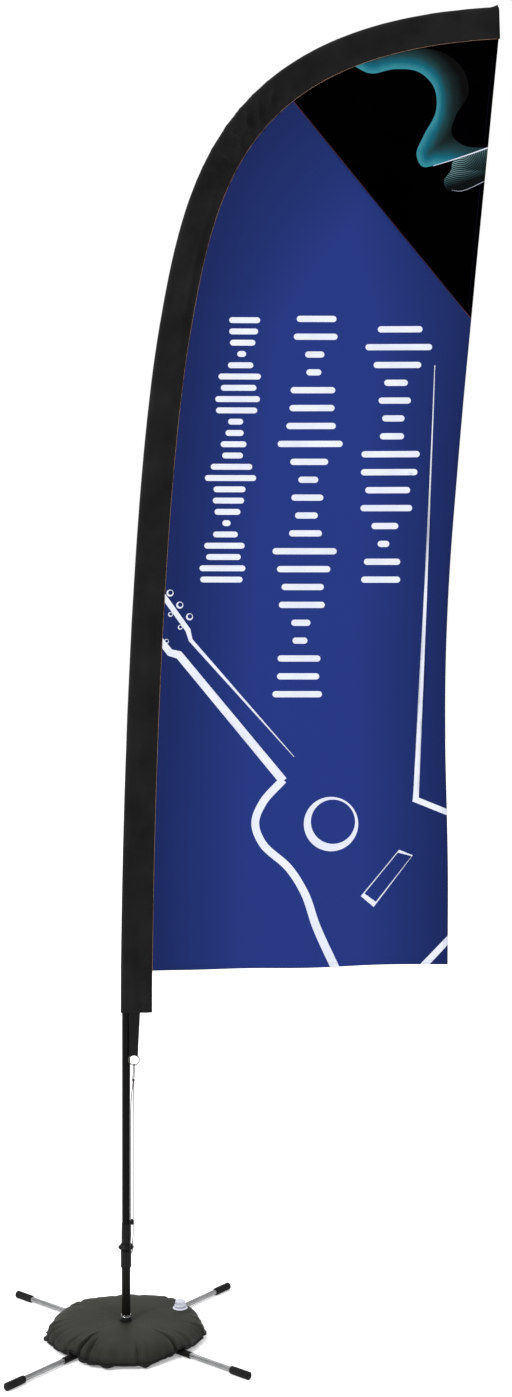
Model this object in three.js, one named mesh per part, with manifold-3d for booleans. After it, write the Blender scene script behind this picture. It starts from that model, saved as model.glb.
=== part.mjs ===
// A free-standing feather flag: a bowed pole in a black sleeve carries a printed panel, and turns on
// a spindle in a cross base whose four telescopic legs are held down by a water bag.
// Millimetres, +Z up. The origin is on the ground, under the pole. The flag lies in the XZ plane, towards +X.
import * as THREE from 'three';
import { mergeVertices } from 'three/addons/utils/BufferGeometryUtils.js';
import Module from 'manifold-3d';

const wasm = await Module();
wasm.setup();

// ---- Driving sizes --------------------------------------------------------------------------

const gap = 0.3; // between pieces that touch
const slipGap = 0.5; // all round a pole stage in the next one down
const turn = 2 * Math.PI;

// Flag and bow
const bowStart = 850; // height where the pole starts to bend
const bowTop = 3402; // height of the pole's line at its tip
const bowReach = 955; // how far the tip stands out from the upright pole
const sleeveFoot = 832; // height of the sleeve's open lower end
const sleeveEase = 1.9; // between the lowest pole stage and the cloth around it
const sleeveTail = 67; // from the pole's line to the seam with the panel
const sleeveWall = 1.1;
const sleeveWeb = 1.6; // thickness where both layers are sewn together
const sleeveWebWidth = 14; // of the sewn strip along the seam
const panelThickness = 1.2;
const hemHeight = 933; // of the panel's lower corner beside the sleeve
const hemRise = 21; // of the lower hem, from the sleeve to the free edge
const pocketDepth = 3; // of the patch that closes the sleeve's top end

// Pole stages: each one fits the bore of the one below, and its mouth is at a length along the pole's line
const poleRadius = 10.5; // of the lowest stage
const lowerStage = { wall: 1.5, end: 1180 };
const middleStage = { wall: 1.5, end: 2260 };
const upperStage = { wall: 1.4, end: 2980 };
const stageOverlap = 70; // of each stage in the one below it
const ferruleLength = 28;
const ferruleWall = 0.9;
const tipCap = { wall: 1.5, length: 16, floor: 3, edge: 3, setBack: 3 };

// Base
const legReach = 410; // from the pole's axis to a leg's tip
const baseTurn = 6; // degrees that the cross is turned from the flag's diagonal
const arm = { radius: 8, wall: 1.2, start: 15, end: 222 };
const legTube = { wall: 1.3, innerEnd: 150 };
const legCap = { radius: 9.5, length: 58, floor: 8, edge: 2 };
const hub = { radius: 38, cover: 4.2, bossRadius: 13, bossHeight: 27.6, boreFloor: 6, edge: 2 };
const setScrewRadius = 3;
const spindle = { radius: 6, top: 147 };
const thrustRing = { thickness: 6.8, play: 1.5 };
const clipThickness = 1.6;

// Rotor, which turns on the spindle and holds the pole
const rotor = { step: 0.7, wall: 1.5, top: 193 }; // step: how much its radius is over the pole's
const bush = { length: 13, upperTop: 140 };
const socket = { wall: 2.4, bottom: 179, top: 221.6 };
const collar = { flange: 6.1, rimHeight: 229.3, top: 237.8 }; // flange: how far it stands out
const footFerrule = { wall: 1.2, tipWall: 0.5, straight: 24, length: 52 };
const spigot = { bottom: 154, top: 330 };

// Water bag and its filler, with heights above the hub
const bag = { radius: 206, bottom: 1.5, holeClearance: 4, centreRise: 8, crownRise: 29, rimWidth: 42 };
const channelClearance = 1.6; // of the bag over and beside an arm
const filler = { x: 136, y: 65, sink: 4, height: 15, flangeRadius: 18, flangeHeight: 3 };
const neck = { radius: 11, wall: 2.4 };
const screwCap = { wall: 3.7, roof: 3, skirtGap: 3.5, edge: 1.5 };
const liner = { thickness: 1.4, ledge: 2 }; // ledge: how far it reaches over the neck's mouth

// Tie-down: strap, ring and elastic cord
const strap = { topWidth: 31, footWidth: 20, thickness: 5.2, centreX: 22, ringWrap: 2.4, clearance: 1.1 };
const splitRing = { radius: 13.5, wire: 1.2, x: 21.6, drop: 118.5 }; // drop: its centre below the sleeve
const cordRadius = 1.25;
const knot = { radius: 3.6, x: 19.8, z: 660.7 };
const cordLock = { width: 10.4, depth: 7.6, height: 10, z: 295.7, bore: 1.65, corner: 2.2 };
const cordLine = -9.5; // y of both strands where the lock slides
const strandX = [13, 19];
const notch = { radius: 16.6, middle: -25, spread: 20.6, width: 4.2 }; // angles in degrees

// ---- Sizes that follow from those -----------------------------------------------------------

const poleBore = poleRadius - lowerStage.wall;
const middleRadius = poleBore - slipGap;
const upperRadius = middleRadius - middleStage.wall - slipGap;
const tipRodRadius = upperRadius - upperStage.wall - slipGap;
const sleeveRadius = poleRadius + sleeveEase + sleeveWall;

const legHeight = legCap.radius; // the caps lie on the ground
const armBore = arm.radius - arm.wall;
const armHole = arm.radius + gap;
const hubHeight = legHeight + armHole + hub.cover;
const bossTop = hubHeight + hub.bossHeight;
const setScrewPlace = (arm.start + hub.radius) / 2 + gap;

const rotorRadius = poleRadius + rotor.step;
const rotorBore = rotorRadius - rotor.wall;
const rotorBottom = bossTop + thrustRing.thickness + 2 * gap;
const socketBore = rotorRadius + gap;
const socketRadius = socketBore + socket.wall;
const collarRadius = socketRadius + collar.flange;

const bagTop = hubHeight + bag.crownRise;
const bagHole = hub.bossRadius + bag.holeClearance;
const neckBottom = bagTop - filler.sink + gap;
const neckTop = neckBottom + filler.height;

const ringZ = sleeveFoot - splitRing.drop;
const tieFront = poleRadius + strap.clearance + strap.thickness / 2; // of the ring, before the pole's axis

// ---- Materials ------------------------------------------------------------------------------

const finish = (color, roughness, metalness) =>
  new THREE.MeshStandardMaterial({ color, roughness, metalness });
const powderCoat = finish(0x1b1b1c, 0.55, 0.3);
const blackPlastic = finish(0x161617, 0.5, 0);
const blackPole = finish(0x141414, 0.35, 0.4);
const fibreglass = finish(0x1d1d1b, 0.4, 0);
const brightSteel = finish(0xc9cbce, 0.22, 1);
const satinAluminium = finish(0xb4b6b8, 0.38, 1);
const rubber = finish(0x202020, 0.8, 0);
const pvc = finish(0x41423c, 0.6, 0);
const whitePlastic = finish(0xe6e6ee, 0.4, 0);
const nylon = finish(0xd8d6ca, 0.5, 0);
const blackCloth = finish(0x151516, 0.85, 0);
const printedCloth = finish(0x23347f, 0.8, 0);
const elastic = finish(0x2a2626, 0.8, 0);

// ---- Shape helpers --------------------------------------------------------------------------

const flag = new THREE.Group();

function add(name, geometry, material, parent = flag) {
  const mesh = new THREE.Mesh(geometry, material);
  mesh.name = name;
  parent.add(mesh);
  return mesh;
}

// A turned piece about +Z. The outline lists [radius, height] anticlockwise, seen with the axis on the left.
function turned(outline, segments = 24) {
  const points = outline.map(([radius, height]) => new THREE.Vector2(radius, height));
  const onAxis = outline[0][0] === 0 && outline.at(-1)[0] === 0;
  if (!onAxis) points.push(points[0].clone());
  return new THREE.LatheGeometry(points, segments).rotateX(Math.PI / 2);
}

// A turned cup: its outline runs from the inside of its floor round the rim to the outside of its floor
const cup = (outline, inside, outside, segments) => turned([[0, inside], ...outline, [0, outside]], segments);

const pipe = (radius, bore, bottom, top, segments) =>
  turned([[bore, bottom], [radius, bottom], [radius, top], [bore, top]], segments);

const rod = (radius, bottom, top, segments) =>
  turned([[0, bottom], [radius, bottom], [radius, top], [0, top]], segments);

// A polygon with its corners on a circle
const ringPoints = (radius, sides, from = 0, to = turn) =>
  Array.from({ length: sides }, (_, i) => from + ((to - from) * i) / sides)
    .map((angle) => new THREE.Vector2(radius * Math.cos(angle), radius * Math.sin(angle)));

const swept = (section, extrudePath, steps) =>
  new THREE.ExtrudeGeometry(section, { steps, extrudePath, curveSegments: 1 });

function sweptTube(radius, bore, path, steps, sides) {
  const section = new THREE.Shape(ringPoints(radius, sides));
  if (bore > 0) section.holes.push(new THREE.Path(ringPoints(bore, sides)));
  return swept(section, path, steps);
}

function solidOf(geometry) {
  const bare = geometry.clone().deleteAttribute('normal').deleteAttribute('uv');
  const merged = mergeVertices(bare, 1e-4);
  const vertProperties = new Float32Array(merged.attributes.position.array);
  const triVerts = new Uint32Array(merged.index.array);
  return new wasm.Manifold(new wasm.Mesh({ numProp: 3, vertProperties, triVerts }));
}

function geometryOf(solid) {
  const { vertProperties, triVerts } = solid.getMesh();
  const geometry = new THREE.BufferGeometry();
  geometry.setAttribute('position', new THREE.BufferAttribute(vertProperties, 3));
  geometry.setIndex(new THREE.BufferAttribute(triVerts, 1));
  geometry.computeVertexNormals();
  return geometry;
}

const cut = (geometry, tools) =>
  geometryOf(tools.reduce((solid, tool) => solid.subtract(solidOf(tool)), solidOf(geometry)));

// ---- The pole's line ------------------------------------------------------------------------

// A stretch of a longer curve, between two lengths along it
class Stretch extends THREE.Curve {
  constructor(whole, from, to) {
    super();
    this.whole = whole;
    this.from = from / whole.getLength();
    this.to = to / whole.getLength();
  }
  getPoint(t, target = new THREE.Vector3()) {
    return this.whole.getPointAt(this.from + (this.to - this.from) * t, target);
  }
}

// The bow's control points, as shares of its reach and of its rise
const bowShape = [[0, 0], [0, 0.15], [0.025, 0.511], [0.104, 0.683], [0.173, 0.835], [0.266, 0.9855], [1, 1]];
const bowPoint = ([reach, rise]) =>
  new THREE.Vector3(reach * bowReach, 0, bowStart + rise * (bowTop - bowStart));

function poleLine() {
  const points = bowShape.map(bowPoint);
  const line = new THREE.CurvePath();
  line.arcLengthDivisions = 800;
  line.add(new THREE.LineCurve3(new THREE.Vector3(), points[0]));
  line.add(new THREE.CubicBezierCurve3(...points.slice(0, 4)));
  line.add(new THREE.CubicBezierCurve3(...points.slice(3, 7)));
  return line;
}

const line = poleLine();
const lineLength = line.getLength();
const sleevePath = new Stretch(line, sleeveFoot, lineLength);
const sleeveSteps = 38;

// A point beside the sleeve's path, towards the panel
function besidePole(share, offset) {
  const along = sleevePath.getTangentAt(share);
  return sleevePath.getPointAt(share).add(new THREE.Vector3(along.z, 0, -along.x).multiplyScalar(offset));
}

// ---- Base -----------------------------------------------------------------------------------

const legAngles = { back_right: 45, back_left: 135, front_left: 225, front_right: 315 };
const legRadians = (angle) => THREE.MathUtils.degToRad(angle + baseTurn);
const eachLeg = (make) => Object.values(legAngles).map((angle) => make().rotateZ(legRadians(angle)));

// A piece turned about +Z, laid along +X at the legs' height
const laid = (geometry) => geometry.rotateY(Math.PI / 2).translate(0, 0, legHeight);

function baseHub() {
  const { radius, bossRadius, edge, boreFloor } = hub;
  const body = turned([
    [0, 0], [radius - edge, 0], [radius, edge], [radius, hubHeight - edge], [radius - edge, hubHeight],
    [bossRadius, hubHeight], [bossRadius, bossTop], [0, bossTop],
  ], 28);
  return cut(body, [
    rod(spindle.radius + gap, boreFloor, bossTop + 1, 18),
    ...eachLeg(() => laid(rod(armHole, arm.start - gap, radius + 1, 16))),
    ...eachLeg(() => rod(setScrewRadius + gap, legHeight, hubHeight + 1, 10).translate(setScrewPlace, 0, 0)),
  ]);
}

const setScrew = () =>
  rod(setScrewRadius, legHeight + armHole, hubHeight - gap, 10).translate(setScrewPlace, 0, 0);

const legArm = () => laid(pipe(arm.radius, armBore, arm.start, arm.end, 16));

function legTubeShape() {
  const radius = armBore - gap;
  return laid(pipe(radius, radius - legTube.wall, legTube.innerEnd, legReach - legCap.floor - gap, 16));
}

function legCapShape() {
  const { radius, length, floor, edge } = legCap;
  const mouth = legReach - length;
  return laid(cup([
    [armBore, legReach - floor], [armBore, mouth], [radius, mouth],
    [radius, legReach - edge], [radius - edge, legReach],
  ], legReach - floor, legReach, 16));
}

function addBase() {
  add('base_hub', baseHub(), powderCoat);
  for (const [corner, angle] of Object.entries(legAngles)) {
    const leg = new THREE.Group();
    leg.rotation.z = legRadians(angle);
    flag.add(leg);
    add(`leg_arm_${corner}`, legArm(), powderCoat, leg);
    add(`set_screw_${corner}`, setScrew(), brightSteel, leg);
    add(`leg_tube_${corner}`, legTubeShape(), satinAluminium, leg);
    add(`leg_cap_${corner}`, legCapShape(), rubber, leg);
  }
  const ringBottom = bossTop + gap;
  const ringBore = spindle.radius + thrustRing.play;
  const clipBottom = bush.upperTop + gap;
  const clipRadius = (spindle.radius + rotorBore) / 2;
  const ring = pipe(hub.bossRadius, ringBore, ringBottom, ringBottom + thrustRing.thickness, 28);
  const clip = pipe(clipRadius, spindle.radius + gap, clipBottom, clipBottom + clipThickness, 18);
  add('spindle', rod(spindle.radius, hub.boreFloor + gap, spindle.top, 18), brightSteel);
  add('thrust_ring', ring, brightSteel);
  add('retaining_clip', clip, brightSteel);
}

// ---- Water bag ------------------------------------------------------------------------------

function bagShape() {
  const { radius, bottom, rimWidth, centreRise } = bag;
  const centreTop = hubHeight + centreRise;
  const halfHeight = (bagTop - bottom) / 2;
  const crownRadius = radius - rimWidth;
  const dipRadius = (crownRadius + bagHole) / 2; // where the crown starts to dip towards the pole
  const rim = new THREE.EllipseCurve(
    crownRadius, bottom + halfHeight, rimWidth, halfHeight, -Math.PI / 2, Math.PI / 2,
  );
  const body = turned([
    [bagHole, bottom], ...rim.getPoints(8).map(({ x, y }) => [x, y]),
    [dipRadius, bagTop - 2], [bagHole, centreTop],
  ], 36);
  const side = arm.radius + channelClearance;
  const channelTop = legHeight + side;
  const channel = () =>
    new THREE.BoxGeometry(2 * radius, 2 * side, 2 * channelTop).translate(radius, 0, 0);
  const hubSpace = rod(hub.radius + channelClearance, 0, hubHeight + channelClearance, 24);
  const seat = rod(filler.flangeRadius + gap, neckBottom - gap, 2 * bagTop, 20);
  return cut(body, [hubSpace, ...eachLeg(channel), seat.translate(filler.x, filler.y, 0)]);
}

function fillerNeck() {
  const { flangeRadius, flangeHeight } = filler;
  const flangeTop = neckBottom + flangeHeight;
  const bore = neck.radius - neck.wall;
  return turned([
    [0, neckBottom], [flangeRadius, neckBottom], [flangeRadius, flangeTop], [neck.radius, flangeTop],
    [neck.radius, neckTop], [bore, neckTop], [bore, flangeTop], [0, flangeTop],
  ], 20);
}

function fillerCap() {
  const { wall, roof, skirtGap, edge } = screwCap;
  const skirt = neckBottom + filler.flangeHeight + skirtGap;
  const inside = neck.radius + gap;
  const outside = inside + wall;
  const ceiling = neckTop + liner.thickness + 2 * gap;
  const top = ceiling + roof;
  return turned([
    [0, ceiling], [inside, ceiling], [inside, skirt], [outside, skirt], [outside, top - edge],
    [outside - edge, top], [0, top],
  ], 24);
}

function addBag() {
  add('water_bag', bagShape(), pvc);
  const place = new THREE.Group();
  place.position.set(filler.x, filler.y, 0);
  flag.add(place);
  const linerBottom = neckTop + gap;
  const linerBore = neck.radius - neck.wall - liner.ledge;
  const washer = pipe(neck.radius - gap, linerBore, linerBottom, linerBottom + liner.thickness, 18);
  add('filler_neck', fillerNeck(), whitePlastic, place);
  add('cap_liner', washer, nylon, place);
  add('filler_cap', fillerCap(), whitePlastic, place);
}

// ---- Rotor and socket -----------------------------------------------------------------------

function tensionCollar() {
  const bore = poleRadius + gap;
  const { rimHeight, top } = collar;
  const body = turned([
    [bore, socket.top + gap], [socketRadius, socket.top + gap], [collarRadius, rimHeight],
    [socketRadius, top], [bore, top],
  ], 32);
  const slot = (side) =>
    new THREE.BoxGeometry(collarRadius, notch.width, 40)
      .translate(collarRadius / 2 + notch.radius - notch.width / 2, 0, rimHeight)
      .rotateZ(THREE.MathUtils.degToRad(notch.middle + side * notch.spread));
  return cut(body, [slot(-1), slot(1)]);
}

function footFerruleShape() {
  const { wall, tipWall, straight, length } = footFerrule;
  const bore = poleRadius + gap;
  const bottom = collar.top + gap;
  return turned([
    [bore, bottom], [bore + wall, bottom], [bore + wall, bottom + straight],
    [bore + tipWall, bottom + length], [bore, bottom + length],
  ], 24);
}

function addRotor() {
  const bushShape = (bottom) =>
    pipe(rotorBore - gap, spindle.radius + gap, bottom, bottom + bush.length, 18);
  add('rotor_tube', pipe(rotorRadius, rotorBore, rotorBottom, rotor.top, 24), powderCoat);
  add('lower_bush', bushShape(rotorBottom), nylon);
  add('upper_bush', bushShape(bush.upperTop - bush.length), nylon);
  add('socket_spigot', rod(poleBore - slipGap, spigot.bottom, spigot.top, 18), brightSteel);
  add('socket_sleeve', pipe(socketRadius, socketBore, socket.bottom, socket.top, 28), blackPlastic);
  add('tension_collar', tensionCollar(), blackPlastic);
  add('pole_foot_ferrule', footFerruleShape(), blackPlastic);
}

// ---- Pole -----------------------------------------------------------------------------------

// Each stage's place, and how finely it is drawn
const insideStage = ({ end }) => end - stageOverlap;
const poleStages = {
  lower: { ...lowerStage, radius: poleRadius, start: rotor.top + gap, steps: 10, sides: 16 },
  middle: { ...middleStage, radius: middleRadius, start: insideStage(lowerStage), steps: 14, sides: 12 },
  upper: { ...upperStage, radius: upperRadius, start: insideStage(middleStage), steps: 24, sides: 10 },
};

function addPole() {
  for (const [name, { radius, wall, start, end, steps, sides }] of Object.entries(poleStages)) {
    const path = new Stretch(line, start, end);
    add(`pole_${name}`, sweptTube(radius, radius - wall, path, steps, sides), blackPole);
    const mouth = new Stretch(line, end - ferruleLength, end);
    const bore = radius + slipGap;
    add(`ferrule_${name}`, sweptTube(bore + ferruleWall, bore, mouth, 2, sides), brightSteel);
  }
  const tipEnd = lineLength - tipCap.setBack - tipCap.floor - gap;
  const rodPath = new Stretch(line, insideStage(upperStage), tipEnd);
  add('pole_tip_rod', sweptTube(tipRodRadius, 0, rodPath, 30, 10), fibreglass);
  addTipCap();
}

// The rounded cap that spreads the tip's push in the sleeve's end
function addTipCap() {
  const { wall, length, floor, edge, setBack } = tipCap;
  const bore = tipRodRadius + slipGap;
  const radius = bore + wall;
  const outline = [[bore, -floor], [bore, -length], [radius, -length], [radius, -edge], [radius - edge, 0]];
  const mesh = add('pole_tip_cap', cup(outline, -floor, 0, 14), rubber);
  const share = 1 - setBack / lineLength;
  mesh.position.copy(line.getPointAt(share));
  mesh.quaternion.setFromUnitVectors(new THREE.Vector3(0, 0, 1), line.getTangentAt(share));
}

// ---- Sleeve and panel -----------------------------------------------------------------------

// A drop: a round side about the pole that closes in straight lines towards the seam
function drop(radius, tail, halfTail, sides) {
  const lean = Math.acos(radius / tail);
  const round = ringPoints(radius, sides, lean, turn - lean);
  round.push(new THREE.Vector2(radius * Math.cos(lean), -radius * Math.sin(lean)));
  const end = halfTail > 0
    ? [new THREE.Vector2(tail, -halfTail), new THREE.Vector2(tail, halfTail)]
    : [new THREE.Vector2(tail, 0)];
  // the section's second axis points at the panel
  return [...round, ...end].map(({ x, y }) => new THREE.Vector2(-y, x));
}

const dropSides = 8;

function sleeveShape() {
  const section = new THREE.Shape(drop(sleeveRadius, sleeveTail, sleeveWeb / 2, dropSides));
  const hollowTail = sleeveTail - sleeveWebWidth;
  section.holes.push(new THREE.Path(drop(sleeveRadius - sleeveWall, hollowTail, 0, dropSides)));
  return swept(section, sleevePath, sleeveSteps);
}

function endPocket() {
  const section = new THREE.Shape(drop(sleeveRadius, sleeveTail, sleeveWeb / 2, dropSides));
  const along = line.getTangentAt(1);
  const start = line.getPointAt(1).addScaledVector(along, gap);
  const end = start.clone().addScaledVector(along, pocketDepth);
  return swept(section, new THREE.LineCurve3(start, end), 1);
}

// The panel's free edge below its top corner, as shares of the bow's reach and rise
const freeEdge = [[0.956, 0.791], [0.894, 0.549], [0.865, 0.388], [0.859, 0.267], [0.867, 0.13]];

function panelShape() {
  const stations = Array.from({ length: sleeveSteps + 1 },
    (_, i) => besidePole(i / sleeveSteps, sleeveTail + gap));
  const first = stations.findIndex(({ z }) => z > hemHeight);
  const [under, over] = [stations[first - 1], stations[first]];
  const lowerCorner = under.clone().lerp(over, (hemHeight - under.z) / (over.z - under.z));
  const seam = [lowerCorner, ...stations.slice(first)].map(({ x, z }) => new THREE.Vector2(x, z));
  const freeCorner = new THREE.Vector2(freeEdge.at(-1)[0] * bowReach, hemHeight + hemRise);
  const edge = new THREE.SplineCurve([
    seam.at(-1),
    ...freeEdge.map(bowPoint).map(({ x, z }) => new THREE.Vector2(x, z)),
    freeCorner,
  ]);
  const outline = new THREE.Shape([...seam, ...edge.getPoints(24).slice(1)]);
  return new THREE.ExtrudeGeometry(outline, { depth: panelThickness, bevelEnabled: false })
    .translate(0, 0, -panelThickness / 2)
    .rotateX(Math.PI / 2);
}

function addFlag() {
  add('sleeve', sleeveShape(), blackCloth);
  add('sleeve_end_pocket', endPocket(), blackCloth);
  add('flag_panel', panelShape(), printedCloth);
}

// ---- Tie-down -------------------------------------------------------------------------------

const ringShape = (wire, sides) =>
  new THREE.TorusGeometry(splitRing.radius, wire, sides, 28)
    .rotateX(Math.PI / 2)
    .translate(splitRing.x, -tieFront, ringZ);

function strapShape() {
  const { topWidth, footWidth, thickness, centreX, ringWrap } = strap;
  const inner = splitRing.radius - splitRing.wire - ringWrap;
  const half = footWidth / 2;
  const lean = Math.acos(Math.min(1, half / (splitRing.radius + splitRing.wire)));
  const shoulder = ringZ + (splitRing.radius + splitRing.wire) * Math.sin(lean);
  const fold = new THREE.EllipseCurve(splitRing.x, ringZ, inner, inner, 0.82 * Math.PI, 0.18 * Math.PI, true);
  const outline = new THREE.Shape([
    ...fold.getPoints(6),
    new THREE.Vector2(splitRing.x + half, shoulder),
    new THREE.Vector2(centreX + topWidth / 2, sleeveFoot - gap),
    new THREE.Vector2(centreX - topWidth / 2, sleeveFoot - gap),
    new THREE.Vector2(splitRing.x - half, shoulder),
  ]);
  const plate = new THREE.ExtrudeGeometry(outline, { depth: thickness, bevelEnabled: false })
    .rotateX(Math.PI / 2)
    .translate(0, thickness / 2 - tieFront, 0);
  return cut(plate, [ringShape(splitRing.wire + gap, 8)]);
}

// The doubled cord that passes over the ring's lowest point
function hitchShape() {
  const reach = splitRing.wire + cordRadius + 2 * gap;
  const wireZ = ringZ - splitRing.radius;
  const foot = knot.z + knot.radius + gap;
  const points = [[-0.55, foot], [-1, wireZ - 8], [-1, wireZ]]
    .map(([side, z]) => new THREE.Vector3(splitRing.x, -tieFront + side * reach, z));
  const crown = new THREE.Vector3(splitRing.x, -tieFront, wireZ + reach + gap);
  const back = points.toReversed().map(({ x, y, z }) => new THREE.Vector3(x, -2 * tieFront - y, z));
  points[0].x = knot.x;
  back.at(-1).x = knot.x;
  return sweptTube(cordRadius, 0, new THREE.CatmullRomCurve3([...points, crown, ...back]), 22, 8);
}

function knotShape() {
  return new THREE.SphereGeometry(knot.radius, 12, 8)
    .rotateX(Math.PI / 2)
    .translate(knot.x, -tieFront, knot.z);
}

// The elastic cord's route, from the knot down one side, under the collar, and up the other
const cordRoute = [
  [18.9, -13.2, 656.2], [17.2, -12, 642], [14.6, -10.4, 618], [13.2, -9.6, 585], [13, -9.5, 550],
  [13, -9.5, 420], [13, -9.5, 280], [13, -9.5, 266], [12.3, -10.6, 251], [11.6, -11.9, 238],
  [11.6, -11.9, 222.5], [12.4, -10.3, 218.4], [14.1, -6.6, 216.7], [15.9, -2.9, 218.4], [16.6, -1.3, 222.5],
  [16.6, -1.3, 238], [17.7, -5, 251], [19, -9.5, 266], [19, -9.5, 280], [19, -9.5, 420], [19, -9.5, 550],
  [19.3, -9.9, 600], [20, -11.6, 635], [20.5, -13.2, 656.2],
];

// A curve through its points that gives each stretch between two of them the same number of steps
class Route extends THREE.CatmullRomCurve3 {
  getPointAt(share, target) {
    return this.getPoint(share, target);
  }
  getTangentAt(share, target) {
    return this.getTangent(share, target);
  }
}

function cordShape() {
  const route = new Route(cordRoute.map((point) => new THREE.Vector3(...point)), false, 'centripetal');
  return sweptTube(cordRadius, 0, route, 3 * (cordRoute.length - 1), 8);
}

function lockShape() {
  const { width, depth, height, bore, corner } = cordLock;
  const middle = (strandX[0] + strandX[1]) / 2;
  const w = width / 2 - corner;
  const d = depth / 2 - corner;
  const outline = new THREE.Shape();
  outline.absarc(w, d, corner, 0, turn / 4);
  outline.absarc(-w, d, corner, turn / 4, turn / 2);
  outline.absarc(-w, -d, corner, turn / 2, (3 * turn) / 4);
  outline.absarc(w, -d, corner, (3 * turn) / 4, turn);
  for (const x of strandX) outline.holes.push(new THREE.Path(ringPoints(bore, 10)
    .map((point) => point.add(new THREE.Vector2(x - middle, 0)))));
  return new THREE.ExtrudeGeometry(outline, { depth: height, bevelEnabled: false, curveSegments: 3 })
    .translate(middle, cordLine, cordLock.z - height / 2);
}

function addTieDown() {
  add('strap', strapShape(), blackCloth);
  add('split_ring', ringShape(splitRing.wire, 8), brightSteel);
  add('cord_hitch', hitchShape(), elastic);
  add('cord_knot', knotShape(), elastic);
  add('tension_cord', cordShape(), elastic);
  add('cord_lock', lockShape(), blackPlastic);
}

addBase();
addBag();
addRotor();
addPole();
addFlag();
addTieDown();

export default flag;
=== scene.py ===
"""The looks of a feather flag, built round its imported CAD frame.

Metres, in the frame's axes: the flag lies in the XZ plane, towards +X, and is seen from -Y.
"""

from math import acos, cos, dist, exp, pi, radians, sin, sqrt

import bmesh
import bpy
import numpy as np
from mathutils import Matrix, Vector, noise
from mathutils.geometry import delaunay_2d_cdt


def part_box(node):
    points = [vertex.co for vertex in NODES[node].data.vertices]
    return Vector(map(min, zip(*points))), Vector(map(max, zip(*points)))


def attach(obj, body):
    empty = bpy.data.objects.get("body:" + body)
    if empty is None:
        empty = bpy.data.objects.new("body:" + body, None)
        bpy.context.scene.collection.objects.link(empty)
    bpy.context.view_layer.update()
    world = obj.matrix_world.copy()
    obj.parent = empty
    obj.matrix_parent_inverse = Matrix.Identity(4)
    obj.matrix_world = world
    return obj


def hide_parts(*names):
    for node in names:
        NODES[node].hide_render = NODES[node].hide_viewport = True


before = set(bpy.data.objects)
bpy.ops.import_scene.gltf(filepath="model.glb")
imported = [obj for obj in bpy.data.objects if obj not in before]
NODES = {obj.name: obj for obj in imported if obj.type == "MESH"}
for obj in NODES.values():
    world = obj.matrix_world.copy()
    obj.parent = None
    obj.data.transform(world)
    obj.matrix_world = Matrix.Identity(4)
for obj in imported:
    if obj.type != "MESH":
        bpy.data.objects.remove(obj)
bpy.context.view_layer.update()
MM = 0.001
TURN = 2 * pi
CORNERS = {"back_right": 51, "back_left": 141, "front_left": 231, "front_right": 321}


# ---- Camera, stage and light ----

def linked(name, data):
    """A new object in the scene."""
    obj = bpy.data.objects.new(name, data)
    bpy.context.scene.collection.objects.link(obj)
    return obj


def add_camera():
    data = bpy.data.cameras.new("camera")
    data.sensor_width = 36
    data.lens = 40.1
    camera = linked("camera", data)
    camera.location = (0.334, -4.0, 1.639)
    camera.rotation_euler = (pi / 2, 0, 0)
    bpy.context.scene.camera = camera


def add_light(name, place, target, size, power):
    data = bpy.data.lights.new(name, "AREA")
    data.shape = "DISK"
    data.size = size
    data.energy = power
    light = linked(name, data)
    light.location = place
    aim = Vector(target) - Vector(place)
    light.rotation_euler = aim.to_track_quat("-Z", "Y").to_euler()


def add_world(strength):
    world = bpy.data.worlds.new("studio")
    world.use_nodes = True
    background = world.node_tree.nodes["Background"]
    background.inputs["Color"].default_value = (1, 1, 1, 1)
    background.inputs["Strength"].default_value = strength
    bpy.context.scene.world = world


# ---- Materials ----

KEY_EASE = 0.935
WAVE_SCALE = TURN / 20  # the scale at which a wave texture repeats once in a metre


def colour(red, green, blue):
    """A linear colour from the display values, 0 to 255, that it has under the key light."""
    shares = [value * KEY_EASE / 255 for value in (red, green, blue)]
    return [v / 12.92 if v <= 0.04045 else ((v + 0.055) / 1.055) ** 2.4 for v in shares] + [1]


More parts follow.
